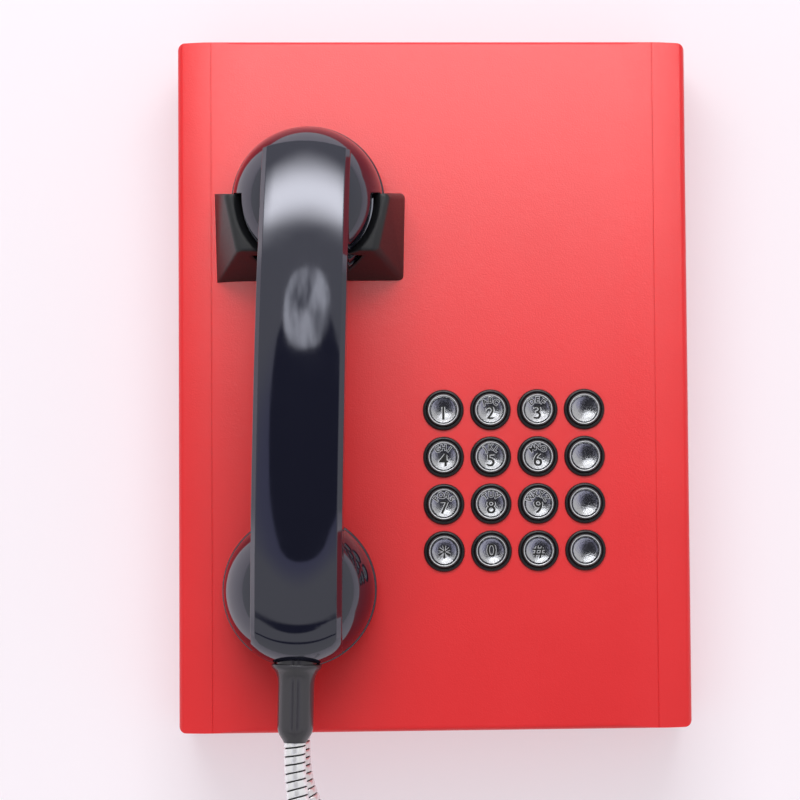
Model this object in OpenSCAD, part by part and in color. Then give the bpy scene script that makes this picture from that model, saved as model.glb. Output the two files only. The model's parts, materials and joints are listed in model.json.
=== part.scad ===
// Slimline wall phone: a pressed-steel wall housing, a cradle with a hook lever, a sealed sixteen-key
// keypad and a corded handset on an armoured hose.
// Millimetres. +Z is up, the front looks along -Y, and the wall is the plane Y = 0. The origin is the
// centre of the four wall holes. "Forward" depths are measured from the wall towards the front.

/* [Housing] */
// Width of the housing
body_w = 218; // [210:1:240]
// Height of the housing
body_h = 294; // [285:1:330]
// Depth of the housing, wall to flat front
body_d = 46; // [44:1:60]
// Sheet thickness of the cover
wall = 1.6; // [1.2:0.1:2]
// How far in from each side the front starts to bend back
bend_inset = 31; // [26:1:31]
// Radius of the bent-back sides of the front
side_arch_r = 90; // [80:1:120]
// Radius of the long side edges
edge_r = 4; // [3:0.5:6]
// Radius of the four corners, seen from the front
corner_r = 3.3; // [2.5:0.1:6]
// Bend radius of the top and bottom front edges
fold_r = 2.2; // [2:0.1:3]
// How far in from each side the pressed groove lies
groove_inset = 14.7; // [12:0.1:18]
// Width of the pressed groove
groove_w = 0.5; // [0.3:0.1:1]
// Depth of the pressed groove
groove_deep = 0.4; // [0.2:0.1:0.6]

/* [Rear plate] */
// Sheet thickness of the rear plate
plate_t = 1.5; // [1:0.1:2]
// Gap between the rear plate and the cover, each side
plate_fit = 0.3; // [0.1:0.1:0.6]
// Depth of the plate's folded top and bottom flanges
flange_d = 13; // [12:1:20]
// Width of the folded flanges
flange_w = 180; // [160:1:190]
// Wall holes, spacing across
wall_hole_dx = 160; // [150:1:176]
// Wall holes, spacing up
wall_hole_dz = 240; // [230:1:256]
// Wall holes, diameter
wall_hole_d = 6; // [4:0.5:8]
// Line cable hole, diameter
line_hole_d = 14; // [10:1:20]
// Line cable hole, height from the centre
line_hole_z = -62; // [-80:1:-50]
// Bore of the line grommet
grommet_bore = 6; // [4:0.5:8]
// Thread diameter of the two cover screws
cover_screw_d = 4; // [3:0.5:5]
// Spacing of the two cover screws
cover_screw_dx = 140; // [120:1:150]

/* [Keypad] */
// Spacing of the keys, both ways
key_pitch = 20; // [19:0.5:21]
// Keypad centre, in from the right side
keypad_inset = 75.3; // [73:0.1:81]
// Keypad centre, up
keypad_z = -41.2; // [-60:0.1:-38]
// Diameter of a key
key_d = 14; // [12:0.5:14.5]
// Gap round a key in its collar
key_fit = 0.15; // [0.1:0.05:0.3]
// Outside diameter of a collar
collar_d = 17.2; // [16.8:0.1:18]
// Gap round a collar in the cover
collar_fit = 0.1; // [0.05:0.05:0.3]
// How far the collars stand out of the front
collar_proud = 1.4; // [1:0.1:2.5]
// How far the keys stand out of the front
key_proud = 2.6; // [2.6:0.1:5]
// Width of a key's raised rim
key_rim = 1; // [0.6:0.1:1.6]
// Depth of a key's dished face below its rim
key_dish = 0.4; // [0.2:0.1:0.8]
// Thickness of the keypad frame's plate
frame_t = 3; // [3:0.1:4]
// Thickness of the rubber dome mat
mat_t = 1.2; // [1:0.1:2]
// Thickness of every circuit board
board_t = 1.6; // [1:0.1:2]

/* [Cradle] */
// Cradle centre, in from the left side
cradle_inset = 56.7; // [55:0.1:59]
// Height of the cradle's U centre
cradle_z = 76; // [74:0.1:80]
// Width of the cradle at its foot, top edge
cradle_w_top = 80.6; // [79:0.1:83]
// Width of the cradle at its foot, bottom edge
cradle_w_bottom = 78.2; // [76:0.1:83]
// Width of the cradle's front face, top edge
face_w_top = 68; // [66:0.1:70]
// Width of the cradle's front face, bottom edge
face_w_bottom = 58; // [54:0.1:64]
// Depth of the cradle in front of the housing
cradle_deep = 27; // [26:0.5:32]
// Bottom of the cradle's foot below the U centre
foot_drop = 31.8; // [31:0.1:34]
// Bottom of the cradle's front face below the U centre
face_drop = 21.6; // [20:0.1:24]
// Top of the horns above the U centre, at the foot
horn_rise = 5.6; // [4:0.1:7]
// Top of the horns above the U centre, at the front face
horn_rise_front = 2; // [1:0.1:4]
// Radius of the pocket that takes the ear cap
pocket_r = 33.8; // [33.6:0.1:34]
// Radius of the U at the lip
lip_r = 27.3; // [27.2:0.1:28.5]
// Radius of the U at the front face
mouth_r = 30.4; // [29:0.1:31]
// Thickness of the floor behind the pocket
floor_t = 2; // [1.5:0.1:2.4]
// Depth where the lip starts, in front of the housing
lip_start = 22.6; // [22.4:0.1:24]
// Thread diameter of the cradle screws
cradle_screw_d = 3; // [2.5:0.5:3]

/* [Hook lever] */
// Width of the hook lever
lever_w = 12; // [8:0.5:14]
// Height of the lever's pivot above the U centre, negative is below
pivot_drop = 8; // [7:0.1:9]
// Diameter of the pivot pin
hook_pin_d = 3; // [2:0.1:3]
// Running gap round the pivot pin
pin_fit = 0.05; // [0.03:0.01:0.08]

/* [Handset] */
// How far the hanging ear cap's centre sits left of the U's centre
cap_shift = 0.2; // [0:0.1:0.4]
// How far the ear cap's centre sits above the U's centre
cap_rise = 0.1; // [0:0.1:0.3]
// How far the hanging handset leans
lean = 1.5; // [0:0.1:2]
// Distance between the two cap centres
cup_span = 162.8; // [150:0.1:164]
// Radius of the screw caps
cap_r = 32.2; // [31:0.1:32.4]
// Back of the caps in front of the housing
cap_back = 4; // [3.8:0.1:5]
// Front rim of the caps in front of the housing
cap_rim = 14.6; // [13:0.1:15]
// Level of the cups' inner floor in front of the housing
cup_floor = 19.5; // [18.5:0.1:20]
// Bore of the two cups
cup_bore_r = 27; // [25:0.1:28]
// Level of the handle's crown in front of the housing
crown = 58; // [54:0.5:64]
// Thickness of the grip at its middle
grip_t = 21; // [16:0.5:24]
// Half width of the handle's face at the ear end
face_half_ear = 16.3; // [14:0.1:17]
// Half width of the handle's face at the mouth end
face_half_mouth = 16.8; // [14:0.1:17]
// Width of the bevel beside the face
bevel = 1.7; // [1:0.1:2.5]
// Radius of the handle's face, side to side
face_cross_r = 90; // [60:5:200]
// From the ear cap's centre to the tip of the face
ear_tip = 22.3; // [20:0.1:24]
// From the mouth cap's centre to where the face has rolled over into the cup
roll_start = 18; // [15:0.5:20]
// Diameter of a sound hole
sound_hole_d = 2.4; // [1.5:0.1:3]

/* [Boot and hose] */
// Level of the cord's axis in front of the housing, at the handset
boot_level = 26; // [25.8:0.1:28]
// Outside diameter of the boot's body
boot_d = 14.8; // [13:0.1:17]
// Diameter of the boot's flange
boot_flange_d = 20.8; // [18:0.1:21]
// Diameter of the neck that plugs into the mouth cup
boot_neck_d = 11; // [9:0.1:12]
// Length of the boot below the mouth cap's centre
boot_reach = 62.2; // [55:0.1:70]
// Outside diameter of the armoured hose
hose_d = 9; // [8:0.1:10]
// Bore of the armoured hose
hose_bore = 6; // [5:0.1:6.5]
// Depth of the groove between two ribs
rib_deep = 0.45; // [0.2:0.05:0.6]
// Number of ribs
ribs = 165; // [120:1:190]
// Where the hose enters the housing, in from the left side
gland_inset = 50; // [45:0.1:59]
// Where the hose enters the housing, forward of the wall
gland_f = 22; // [18:0.5:26]
// Diameter of the gland's flange
gland_d = 12.4; // [12:0.1:16]
// Thickness of the gland's flange
gland_t = 2; // [1.5:0.1:3]

/* [Hidden] */
$fn = 64;
eps = 0.01;
half_w = body_w / 2;
half_h = body_h / 2;
inner_front = body_d - wall;           // forward depth of the cover's inner face
bend_x = half_w - bend_inset;          // where the flat front ends
keypad_x = half_w - keypad_inset;
cradle_x = cradle_inset - half_w;
gland_x = gland_inset - half_w;
ear_x = cradle_x - cap_shift;
ear_z = cradle_z + cap_rise;
past = 1;                              // how far cuts run past a face

// Keypad stack, forward depths from the front backwards
frame_back = inner_front - frame_t;
mat_back = frame_back - mat_t;
board_back = mat_back - board_t;
key_flange_t = 1;
key_stop = inner_front - 0.4;          // the shoulder that the key's flange rests against
key_foot = key_stop - key_flange_t;
key_flange_r = key_d / 2 + 0.9;
counterbore_r = key_flange_r + 0.3;
key_top = body_d + key_proud;
frame_half = 1.5 * key_pitch + 14;
stud_offset = frame_half - 3.5;
stud_r = 1.5;
stud_out = 5;                          // studs behind the keypad board
mat_half = frame_half - 7;

// Rear plate and electronics
plate_half_w = half_w - wall - plate_fit;
plate_half_h = half_h - wall - plate_fit;
standoff_h = 8.5;
board_x0 = -70;
board_x1 = 60;
board_z0 = 5;
board_z1 = 85;
board_f0 = plate_t + standoff_h;
board_f1 = board_f0 + board_t;
board_hole_inset = 5;
cover_screw_f = 9;
cover_head_r = 3.6;
cover_head_h = 2.2;
cover_nut_r = 4;
cover_nut_h = 3.2;
cover_screw_spare = 5;                 // thread past the plate's flange
board_screw_r = 1.5;
board_screw_h = 6;
board_head_r = 2.8;
board_head_h = 1.8;
terminal_x = -12;
terminal_w = 40;
terminal_deep = 10;
terminal_h = 12;
connector_z = board_z0 + board_hole_inset + board_head_r + 1.2;

// Hook lever
pivot_f = inner_front - 5.4;
pivot_z = cradle_z - pivot_drop;
nose_f = body_d + floor_t + 1;
slot_half = lever_w / 2 + 1;
slot_top = pivot_z - 1;
slot_bottom = pivot_z - 22;
ear_gap = 4.5;                         // from the lever's side to the bracket's ear
bracket_t = 1.2;
ear_inner = lever_w / 2 + ear_gap;
bracket_back = inner_front - 11.4;

// Handset, in its own frame: Z up the handle from the ear cap's centre, depths in front of the housing
mouth_at = -cup_span;
mid_at = mouth_at / 2;
skirt_r = cap_r - 2.7;
rim_r = cap_r - 0.7;                   // outer radius of the domed cups, where they meet the caps
rim_level = cap_rim + 0.2;
cap_wall_r = skirt_r + 0.05;
cap_face_t = 3;
channel = 43;                          // level of the wire channel in the handle
channel_r = 3;
wire_r = 1.9;
grille_t = 0.6;
grille_r = 25;
cap_clear = 0.7;                       // from the handle's root to the cradle's lip
root_top = cradle_deep + 0.5;          // above this level nothing stands beside the handle's root
arm_over = 3.8;                        // the cradle's arms end below this height over the ear cup's centre
ledge_top = rim_level + 0.7 * rim_r;
root_back = cup_floor - 3.3;           // the handle's root reaches down to this level inside the cups
foot = cup_span / 2 - 25.2;            // where the handle's underside meets the cups, from its middle
roll_power = 2.5;
boot_seat = 31.2;                      // from the mouth cap's centre down to the boot's flange
neck_top = 21.5;                       // and to the top of its neck
neck_r = boot_neck_d / 2;
microphone_r = 11;
boot_round = 6.5;                      // height of the boot's rounded end

function lerp(a, b, t) = a + (b - a) * t;

// ---------------------------------------------------------------- placing helpers
module disc(x, z, f0, f1, r) translate([x, -f0, z]) rotate([90, 0, 0]) cylinder(h = f1 - f0, r = r);

module slab(x0, x1, f0, f1, z0, z1) translate([x0, -f1, z0]) cube([x1 - x0, f1 - f0, z1 - z0]);

module round_rect(half_x, half_y, r) {
    square([2 * half_x, 2 * (half_y - r)], center = true);
    square([2 * (half_x - r), 2 * half_y], center = true);
    for (sx = [-1, 1], sy = [-1, 1]) translate([sx * (half_x - r), sy * (half_y - r)]) circle(r = r);
}

// An XZ outline as a plate between two forward depths
module plate_xz(f0, f1) translate([0, -f0, 0]) rotate([90, 0, 0]) linear_extrude(height = f1 - f0) children();

// ---------------------------------------------------------------- housing
// Right half of the housing's plan, inset by t: flat front, large arc, small edge radius, straight side
module half_plan(t) {
    centre = [bend_x, side_arch_r - body_d];
    small_x = half_w - edge_r;
    small_y = centre[1] - sqrt(pow(side_arch_r - edge_r, 2) - pow(small_x - bend_x, 2));
    toward = ([small_x, small_y] - centre) / (side_arch_r - edge_r);
    square_to = half_w - t;
    translate([0, t - body_d]) square([bend_x, body_d - t + past]);
    intersection() {
        translate(centre) circle(r = side_arch_r - t, $fn = 180);
        polygon([centre, [bend_x, -body_d - 5], centre + toward * (side_arch_r + 5)]);
        translate([bend_x - eps, -body_d - 5]) square([bend_inset + 5, body_d + 5]);
    }
    translate([small_x, small_y]) circle(r = edge_r - t);
    translate([bend_x - eps, small_y]) square([square_to - bend_x + eps, past - small_y]);
}

module plan(t) {
    half_plan(t);
    mirror([1, 0]) half_plan(t);
}

// The housing's outer form inset by t on every side but the back
module form(t) intersection() {
    linear_extrude(height = body_h - 2 * t, center = true) plan(t);
    translate([0, past, 0]) rotate([90, 0, 0]) linear_extrude(height = body_d + past + eps)
        round_rect(half_w - t, half_h - t, corner_r - t);
    rotate([90, 0, 90]) linear_extrude(height = body_w + 2, center = true) {
        translate([fold_r - body_d, t - half_h]) square([body_d - fold_r + past, body_h - 2 * t]);
        translate([t - body_d, fold_r - half_h]) square([body_d - t + past, body_h - 2 * fold_r]);
        for (s = [-1, 1]) translate([fold_r - body_d, s * (half_h - fold_r)]) circle(r = fold_r - t);
    }
}

function key_x(col) = keypad_x + (col - 1.5) * key_pitch;
function key_z(row) = keypad_z + (1.5 - row) * key_pitch;
function groove_f() = body_d - side_arch_r + sqrt(pow(side_arch_r, 2) - pow(bend_inset - groove_inset, 2));

module front_cover() color("#e6474c") {
    difference() {
        form(0);
        form(wall);
        slab(-half_w - past, half_w + past, -2 * past, 0, -half_h - past, half_h + past);
        for (s = [-1, 1]) translate([s * (half_w - groove_inset) - groove_w / 2, -groove_f() - 2, -half_h - 1])
            cube([groove_w, 2 + groove_deep, body_h + 2]);
        for (row = [0:3], col = [0:3])
            disc(key_x(col), key_z(row), inner_front - 1, body_d + 1, collar_d / 2 + collar_fit);
        slab(cradle_x - slot_half, cradle_x + slot_half, inner_front - 1, body_d + 1, slot_bottom, slot_top);
        for (s = [-1, 1]) {
            disc(cradle_x + s * cradle_screw_x, cradle_z - cradle_screw_drop, inner_front - 1, body_d + 1,
                cradle_screw_d / 2 + 0.2);
            disc(cradle_x + s * peg_x, cradle_z, inner_front - 1, body_d + 1, peg_r + 0.1);
            translate([s * cover_screw_dx / 2, -cover_screw_f, -half_h - 1])
                cylinder(h = wall + 2, r = cover_screw_d / 2 + 0.3);
        }
        translate([gland_x, -gland_f, -half_h - 1]) cylinder(h = wall + 2, r = gland_stem_r + 0.05);
    }
    for (sx = [-1, 1], sz = [-1, 1])
        disc(keypad_x + sx * stud_offset, keypad_z + sz * stud_offset, board_back - stud_out, inner_front + wall / 2,
            stud_r);
}

module rear_plate() color("#b9bcc0") difference() {
    union() {
        plate_xz(0, plate_t) round_rect(plate_half_w, plate_half_h, corner_r - wall);
        for (s = [-1, 1])
            slab(-flange_w / 2, flange_w / 2, plate_t - eps, plate_t + flange_d,
                s > 0 ? plate_half_h - plate_t : -plate_half_h, s > 0 ? plate_half_h : plate_t - plate_half_h);
    }
    for (sx = [-1, 1], sz = [-1, 1])
        disc(sx * wall_hole_dx / 2, sz * wall_hole_dz / 2, -1, plate_t + 1, wall_hole_d / 2);
    disc(0, line_hole_z, -1, plate_t + 1, line_hole_d / 2);
    for (s = [-1, 1]) translate([s * cover_screw_dx / 2, -cover_screw_f, -plate_half_h - 1])
        cylinder(h = plate_t + 2, r = cover_screw_d / 2 + 0.05);
}

module line_grommet() color("#26262a") difference() {
    union() {
        disc(0, line_hole_z, 0, plate_t, line_hole_d / 2);
        disc(0, line_hole_z, plate_t, plate_t + 2, line_hole_d / 2 + 2.5);
    }
    disc(0, line_hole_z, -1, plate_t + 3, grommet_bore / 2);
}

module cover_screws() color("#c9ccd0") for (s = [-1, 1])
    translate([s * cover_screw_dx / 2, -cover_screw_f, 0]) {
        difference() {
            translate([0, 0, -half_h - cover_head_h]) cylinder(h = cover_head_h, r1 = cover_head_r - 0.6,
                r2 = cover_head_r);
            translate([0, 0, -half_h - cover_head_h - 0.1]) cylinder(h = 1.5, r = 1.5, $fn = 6);
        }
        translate([0, 0, -half_h]) cylinder(h = wall + plate_fit + plate_t + cover_screw_spare, r = cover_screw_d / 2);
    }

module cover_nuts() color("#b0b3b8") for (s = [-1, 1])
    translate([s * cover_screw_dx / 2, -cover_screw_f, plate_t - plate_half_h]) difference() {
        cylinder(h = cover_nut_h, r = cover_nut_r, $fn = 6);
        translate([0, 0, -past]) cylinder(h = cover_nut_h + 2 * past, r = cover_screw_d / 2 + 0.05);
    }

// ---------------------------------------------------------------- keypad
module keypad_frame() color("#1c1c1f") difference() {
    union() {
        slab(keypad_x - frame_half, keypad_x + frame_half, frame_back, inner_front,
            keypad_z - frame_half, keypad_z + frame_half);
        slab(keypad_x - frame_half, keypad_x + frame_half, mat_back, frame_back + eps,
            keypad_z - frame_half, keypad_z + frame_half);
        for (row = [0:3], col = [0:3]) translate([key_x(col), 0, key_z(row)]) rotate([90, 0, 0])
            rotate_extrude() polygon([[0, inner_front - 1], [collar_d / 2, inner_front - 1],
                [collar_d / 2, body_d + collar_proud - 0.85], [collar_d / 2 - 0.08, body_d + collar_proud - 0.5],
                [collar_d / 2 - 0.3, body_d + collar_proud - 0.2], [collar_d / 2 - 0.65, body_d + collar_proud - 0.03],
                [collar_d / 2 - 0.9, body_d + collar_proud], [0, body_d + collar_proud]]);
    }
    slab(keypad_x - mat_half - 0.2, keypad_x + mat_half + 0.2, mat_back - 1, frame_back,
        keypad_z - mat_half - 0.2, keypad_z + mat_half + 0.2);
    for (row = [0:3], col = [0:3]) {
        disc(key_x(col), key_z(row), frame_back - 1, key_stop, counterbore_r);
        disc(key_x(col), key_z(row), frame_back, body_d + collar_proud + 1, key_d / 2 + key_fit);
    }
    for (sx = [-1, 1], sz = [-1, 1])
        disc(keypad_x + sx * stud_offset, keypad_z + sz * stud_offset, mat_back - 1, inner_front + 1, stud_r + 0.1);
}

// One key: a flanged plunger with a raised rim round a dished face
module key(row, col) color("#c4c6ca") translate([key_x(col), 0, key_z(row)]) rotate([90, 0, 0])
    rotate_extrude() polygon([[0, key_foot], [key_flange_r, key_foot], [key_flange_r, key_stop],
        [key_d / 2, key_stop], [key_d / 2, key_top - 0.7], [key_d / 2 - 0.12, key_top - 0.3],
        [key_d / 2 - 0.4, key_top - 0.06], [key_d / 2 - 0.6, key_top], [key_d / 2 - key_rim + 0.1, key_top - 0.04],
        [key_d / 2 - key_rim - 0.1, key_top - key_dish + 0.05], [key_d / 2 - key_rim - 0.2, key_top - key_dish],
        [0, key_top - key_dish]]);

module dome_mat() color("#6f7277") {
    slab(keypad_x - mat_half, keypad_x + mat_half, mat_back, frame_back, keypad_z - mat_half, keypad_z + mat_half);
    for (row = [0:3], col = [0:3]) translate([key_x(col), -frame_back + eps, key_z(row)]) rotate([90, 0, 0])
        cylinder(h = key_foot - frame_back + eps, r1 = 4.2, r2 = 3);
}

module keypad_board() color("#1f5c3a") difference() {
    slab(keypad_x - frame_half, keypad_x + frame_half, board_back, mat_back,
        keypad_z - frame_half, keypad_z + frame_half);
    for (sx = [-1, 1], sz = [-1, 1])
        disc(keypad_x + sx * stud_offset, keypad_z + sz * stud_offset, board_back - 1, mat_back + 1, stud_r + 0.1);
}

module keypad_nuts() color("#b0b3b8") for (sx = [-1, 1], sz = [-1, 1])
    translate([keypad_x + sx * stud_offset, -board_back, keypad_z + sz * stud_offset]) rotate([-90, 0, 0])
        difference() {
            cylinder(h = 2.4, r = 3.1, $fn = 6);
            translate([0, 0, -1]) cylinder(h = 5, r = stud_r + 0.05);
        }

// ---------------------------------------------------------------- electronics
module board_corners() for (x = [board_x0 + board_hole_inset, board_x1 - board_hole_inset],
    z = [board_z0 + board_hole_inset, board_z1 - board_hole_inset]) translate([x, 0, z]) rotate([90, 0, 0])
        children();

module main_board() color("#1f5c3a") difference() {
    slab(board_x0, board_x1, board_f0, board_f1, board_z0, board_z1);
    board_corners() translate([0, 0, board_f0 - 1]) cylinder(h = board_t + 2, r = board_screw_r + 0.1);
}

module board_standoffs() color("#c8a24a") board_corners() difference() {
    translate([0, 0, plate_t]) cylinder(h = standoff_h, r = board_screw_r * 2);
    translate([0, 0, plate_t + 2]) cylinder(h = standoff_h, r = board_screw_r + 0.05);
}

module board_screws() color("#b0b3b8") board_corners() {
    translate([0, 0, board_f1]) cylinder(h = board_head_h, r = board_head_r);
    translate([0, 0, board_f1 - board_screw_h]) cylinder(h = board_screw_h + eps, r = board_screw_r);
}

function terminal_at(i) = terminal_x + (i - 1.5) * terminal_w / 4;

module terminal_block() color("#3b6ea5") {
    difference() {
        slab(terminal_x - terminal_w / 2, terminal_x + terminal_w / 2, board_f1, board_f1 + terminal_deep,
            board_z0, board_z0 + terminal_h);
        for (i = [0:3]) translate([terminal_at(i), -board_f1 - 0.4 * terminal_deep, board_z0 - past])
            cylinder(h = terminal_h / 2 + past, r = terminal_w / 22);
    }
    for (i = [0:3]) disc(terminal_at(i), board_z0 + 0.7 * terminal_h, board_f1 + terminal_deep - eps,
        board_f1 + terminal_deep + 0.8, terminal_w / 18);
}

module ringer() color("#202023") difference() {
    disc(30, board_z0 + 55, board_f1, board_f1 + 9, 13);
    disc(30, board_z0 + 55, board_f1 + 6, board_f1 + 10, 1.5);
}

module ribbon_header() color("#202023")
    slab(keypad_x - 11, keypad_x + 11, board_f1, board_f1 + 7, board_z0 + 18, board_z0 + 24);

module keypad_ribbon() color("#8d9096") {
    slab(keypad_x - 9, keypad_x + 9, board_f1 + 7, board_back, keypad_z + frame_half - 6, keypad_z + frame_half - 5.2);
    slab(keypad_x - 9, keypad_x + 9, board_f1 + 7, board_f1 + 7.8, keypad_z + frame_half - 6, board_z0 + 23);
}

// ---------------------------------------------------------------- cradle and hook lever
cradle_screw_x = 26.5;
cradle_screw_drop = 26.5;
cradle_screw_reach = 6;
cradle_head_r = 2.7;
cradle_head_h = 2.34;
head_gap = 0.06;
bracket_side = 8;                      // bracket beside its ears
bracket_above = 10;                    // bracket above the pivot
bracket_below = 4;                     // bracket below the slot
peg_x = 37;
peg_r = 1.2;

// The pocket's centre above the U centre, so that the hanging cap rests in its bottom
pocket_z = ear_z - cradle_z + pocket_r - cap_r - 0.1;

// Height and half width of the cradle's block at a depth in front of the housing
function at_depth(a, b, d) = lerp(a, b, d / cradle_deep);

module cradle_section(d) translate([0, -d, 0]) rotate([90, 0, 0]) linear_extrude(height = eps) polygon([
    [-at_depth(cradle_w_top, face_w_top, d) / 2, at_depth(horn_rise, horn_rise_front, d)],
    [at_depth(cradle_w_top, face_w_top, d) / 2, at_depth(horn_rise, horn_rise_front, d)],
    [at_depth(cradle_w_bottom, face_w_bottom, d) / 2, -at_depth(foot_drop, face_drop, d)],
    [-at_depth(cradle_w_bottom, face_w_bottom, d) / 2, -at_depth(foot_drop, face_drop, d)]]);

module cradle() color("#232527") {
    difference() {
        translate([cradle_x, -body_d, cradle_z]) {
            difference() {
                hull() {
                    cradle_section(-2);
                    cradle_section(cradle_deep - eps);
                }
                disc(ear_x - cradle_x, pocket_z, floor_t, lip_start, pocket_r);
                slab(ear_x - cradle_x - pocket_r, ear_x - cradle_x + pocket_r, floor_t, lip_start, pocket_z, 20);
                disc(0, 0, floor_t, lip_start + 1, lip_r);
                slab(-lip_r, lip_r, floor_t, lip_start + 1, 0, 20);
                translate([0, -lip_start, 0]) rotate([90, 0, 0])
                    cylinder(h = cradle_deep - lip_start + eps, r1 = lip_r, r2 = mouth_r);
                linear_extrude(height = 20) polygon([[-lip_r, -lip_start], [lip_r, -lip_start],
                    [mouth_r, -cradle_deep - eps], [-mouth_r, -cradle_deep - eps]]);
            }
        }
        form(0);
        slab(cradle_x - slot_half, cradle_x + slot_half, body_d - 2, body_d + floor_t + 1, slot_bottom, slot_top);
        for (s = [-1, 1]) disc(cradle_x + s * cradle_screw_x, cradle_z - cradle_screw_drop, body_d - 3 * past,
            body_d + cradle_screw_reach + 1.5, cradle_screw_d / 2 + 0.05);
    }
    for (s = [-1, 1]) disc(cradle_x + s * peg_x, cradle_z, inner_front - 1, body_d + 0.5, peg_r);
}

module cradle_screws() color("#b0b3b8") for (s = [-1, 1]) {
    disc(cradle_x + s * cradle_screw_x, cradle_z - cradle_screw_drop, inner_front - head_gap - cradle_head_h,
        inner_front - head_gap, cradle_head_r);
    disc(cradle_x + s * cradle_screw_x, cradle_z - cradle_screw_drop, inner_front - head_gap - eps,
        body_d + cradle_screw_reach, cradle_screw_d / 2);
}

module hook_bracket() color("#a9acb1") difference() {
    union() {
        slab(cradle_x - ear_inner - bracket_side, cradle_x + ear_inner + bracket_side, inner_front - bracket_t,
            inner_front, slot_bottom - bracket_below, pivot_z + bracket_above);
        for (s = [-1, 1]) slab(cradle_x + s * (ear_inner + bracket_t / 2) - bracket_t / 2,
            cradle_x + s * (ear_inner + bracket_t / 2) + bracket_t / 2, bracket_back, inner_front - eps,
            pivot_z - 8, pivot_z + 6);
    }
    slab(cradle_x - slot_half, cradle_x + slot_half, inner_front - 3, inner_front + 1, slot_bottom, pivot_z + 5);
    translate([cradle_x - 2 * ear_inner, -pivot_f, pivot_z]) rotate([0, 90, 0])
        cylinder(h = 4 * ear_inner, r = hook_pin_d / 2);
}

module hook_pin() color("#c9ccd0") translate([cradle_x - ear_inner - bracket_t - 1, -pivot_f, pivot_z])
    rotate([0, 90, 0]) cylinder(h = 2 * (ear_inner + bracket_t + 1), r = hook_pin_d / 2);

// The lever hangs from its hub through the slot, and its nose lies just under the ear cap's back
module hook_lever() color("#2b2d30") difference() {
    translate([cradle_x - lever_w / 2, -pivot_f, pivot_z]) rotate([90, 0, 90]) linear_extrude(height = lever_w)
        difference() {
            union() {
                circle(r = 3.4);
                polygon([[-1, 3.2], [-(nose_f - pivot_f) + 3, -9], [-(nose_f - pivot_f), -13],
                    [-(nose_f - pivot_f), -16.5], [-(nose_f - pivot_f) + 1.5, -18], [-4.6, -17.5], [-2.5, -8],
                    [1.2, -8.2], [1.2, -11.5], [4.4, -11.5], [4.4, -4.6], [3.2, -1]]);
            }
            circle(r = hook_pin_d / 2 + pin_fit);
        }
}

module hook_magnet() color("#8e9196")
    slab(cradle_x - 3, cradle_x + 3, pivot_f - 1.2, pivot_f + 1.2, pivot_z - 11.5, pivot_z - 8.2);

module hook_spring() color("#d0d3d6") translate([cradle_x + lever_w / 2 + 0.4, -pivot_f, pivot_z])
    rotate([0, 90, 0]) difference() {
        cylinder(h = ear_gap - 0.4, r = 3);
        translate([0, 0, -1]) cylinder(h = ear_gap + 2, r = hook_pin_d / 2 + 0.1);
    }

module hook_board() color("#1f5c3a") slab(cradle_x - ear_inner - bracket_t, cradle_x + ear_inner + bracket_t,
    bracket_back - board_t, bracket_back, pivot_z - 12, pivot_z + 6);

module reed_switch() color("#9fc3c9") translate([cradle_x - 7, -(bracket_back - board_t - 1.4), pivot_z - 9])
    rotate([0, 90, 0]) cylinder(h = 14, r = 1.4);

module hook_lead() color("#7a1f24")
    disc(cradle_x - 6, pivot_z + 3, board_f1, bracket_back - board_t, 1);

// ---------------------------------------------------------------- handset
// Places children in the hanging handset's own frame
module hung() translate([ear_x, -body_d, ear_z]) rotate([0, lean, 0]) children();

// Turns a profile of radius and level about a cup's axis
module turned(at_z) translate([0, 0, at_z]) rotate([90, 0, 0]) rotate_extrude($fn = 96) children();

function face_level(u) = let(r_mid = 400, r_end = 110, reach = 66, a = abs(u), v = max(0, a - reach),
    m = min(a, reach)) crown - m * m / (2 * r_mid) - v * reach / r_mid - v * v / (2 * r_end);

// Back of the handle: the grip's underside, rounding down into the cups
function back_level(u) = let(a = abs(u), r = 12, v = min(r, max(0, a - (foot - r))),
    grip = crown - grip_t - a * a / 1200)
    u < mid_at ? rim_level - 8 : a > foot + 0.4 ? root_back : grip - r + sqrt(r * r - v * v);

// The face's lower end rolls over into the mouth cup. Its level falls with the distance past the cup's centre.
function rolled(q) = pow(max(0, 1 - pow(q / rim_r, roll_power)), 1 / roll_power);
function roll_level(q) = rim_level - 1 + rolled(q) / rolled(roll_start)
    * (face_level(cup_span / 2 + roll_start) - rim_level + 1);
function ease(t) = let(c = min(1, max(0, t))) c * c * (3 - 2 * c);
function face_at(u, x) = let(plain = face_level(u) - x * x / (2 * face_cross_r),
    q = mid_at - u + rim_r - sqrt(rim_r * rim_r - x * x))
    q < 0 ? plain : lerp(plain, roll_level(q), ease((q - roll_start + 4) / 8));

function face_half(u) = lerp(face_half_mouth, face_half_ear, 0.5 + u / cup_span);

function handle_section(u) = let(z = u + mid_at, f = face_half(u), s = f + bevel, back = back_level(u),
    brow = 2 - face_at(u, f)) concat(
    [for (k = [-2:2]) [k * f / 2, -face_at(u, k * f / 2), z]],
    [[s, brow, z], [s + 0.3, -back - 4, z], [s - 3.4, -back, z], [3.4 - s, -back, z], [-s - 0.3, -back - 4, z],
    [-s, brow, z]]);
ring = 11;                             // points round one section

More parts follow.
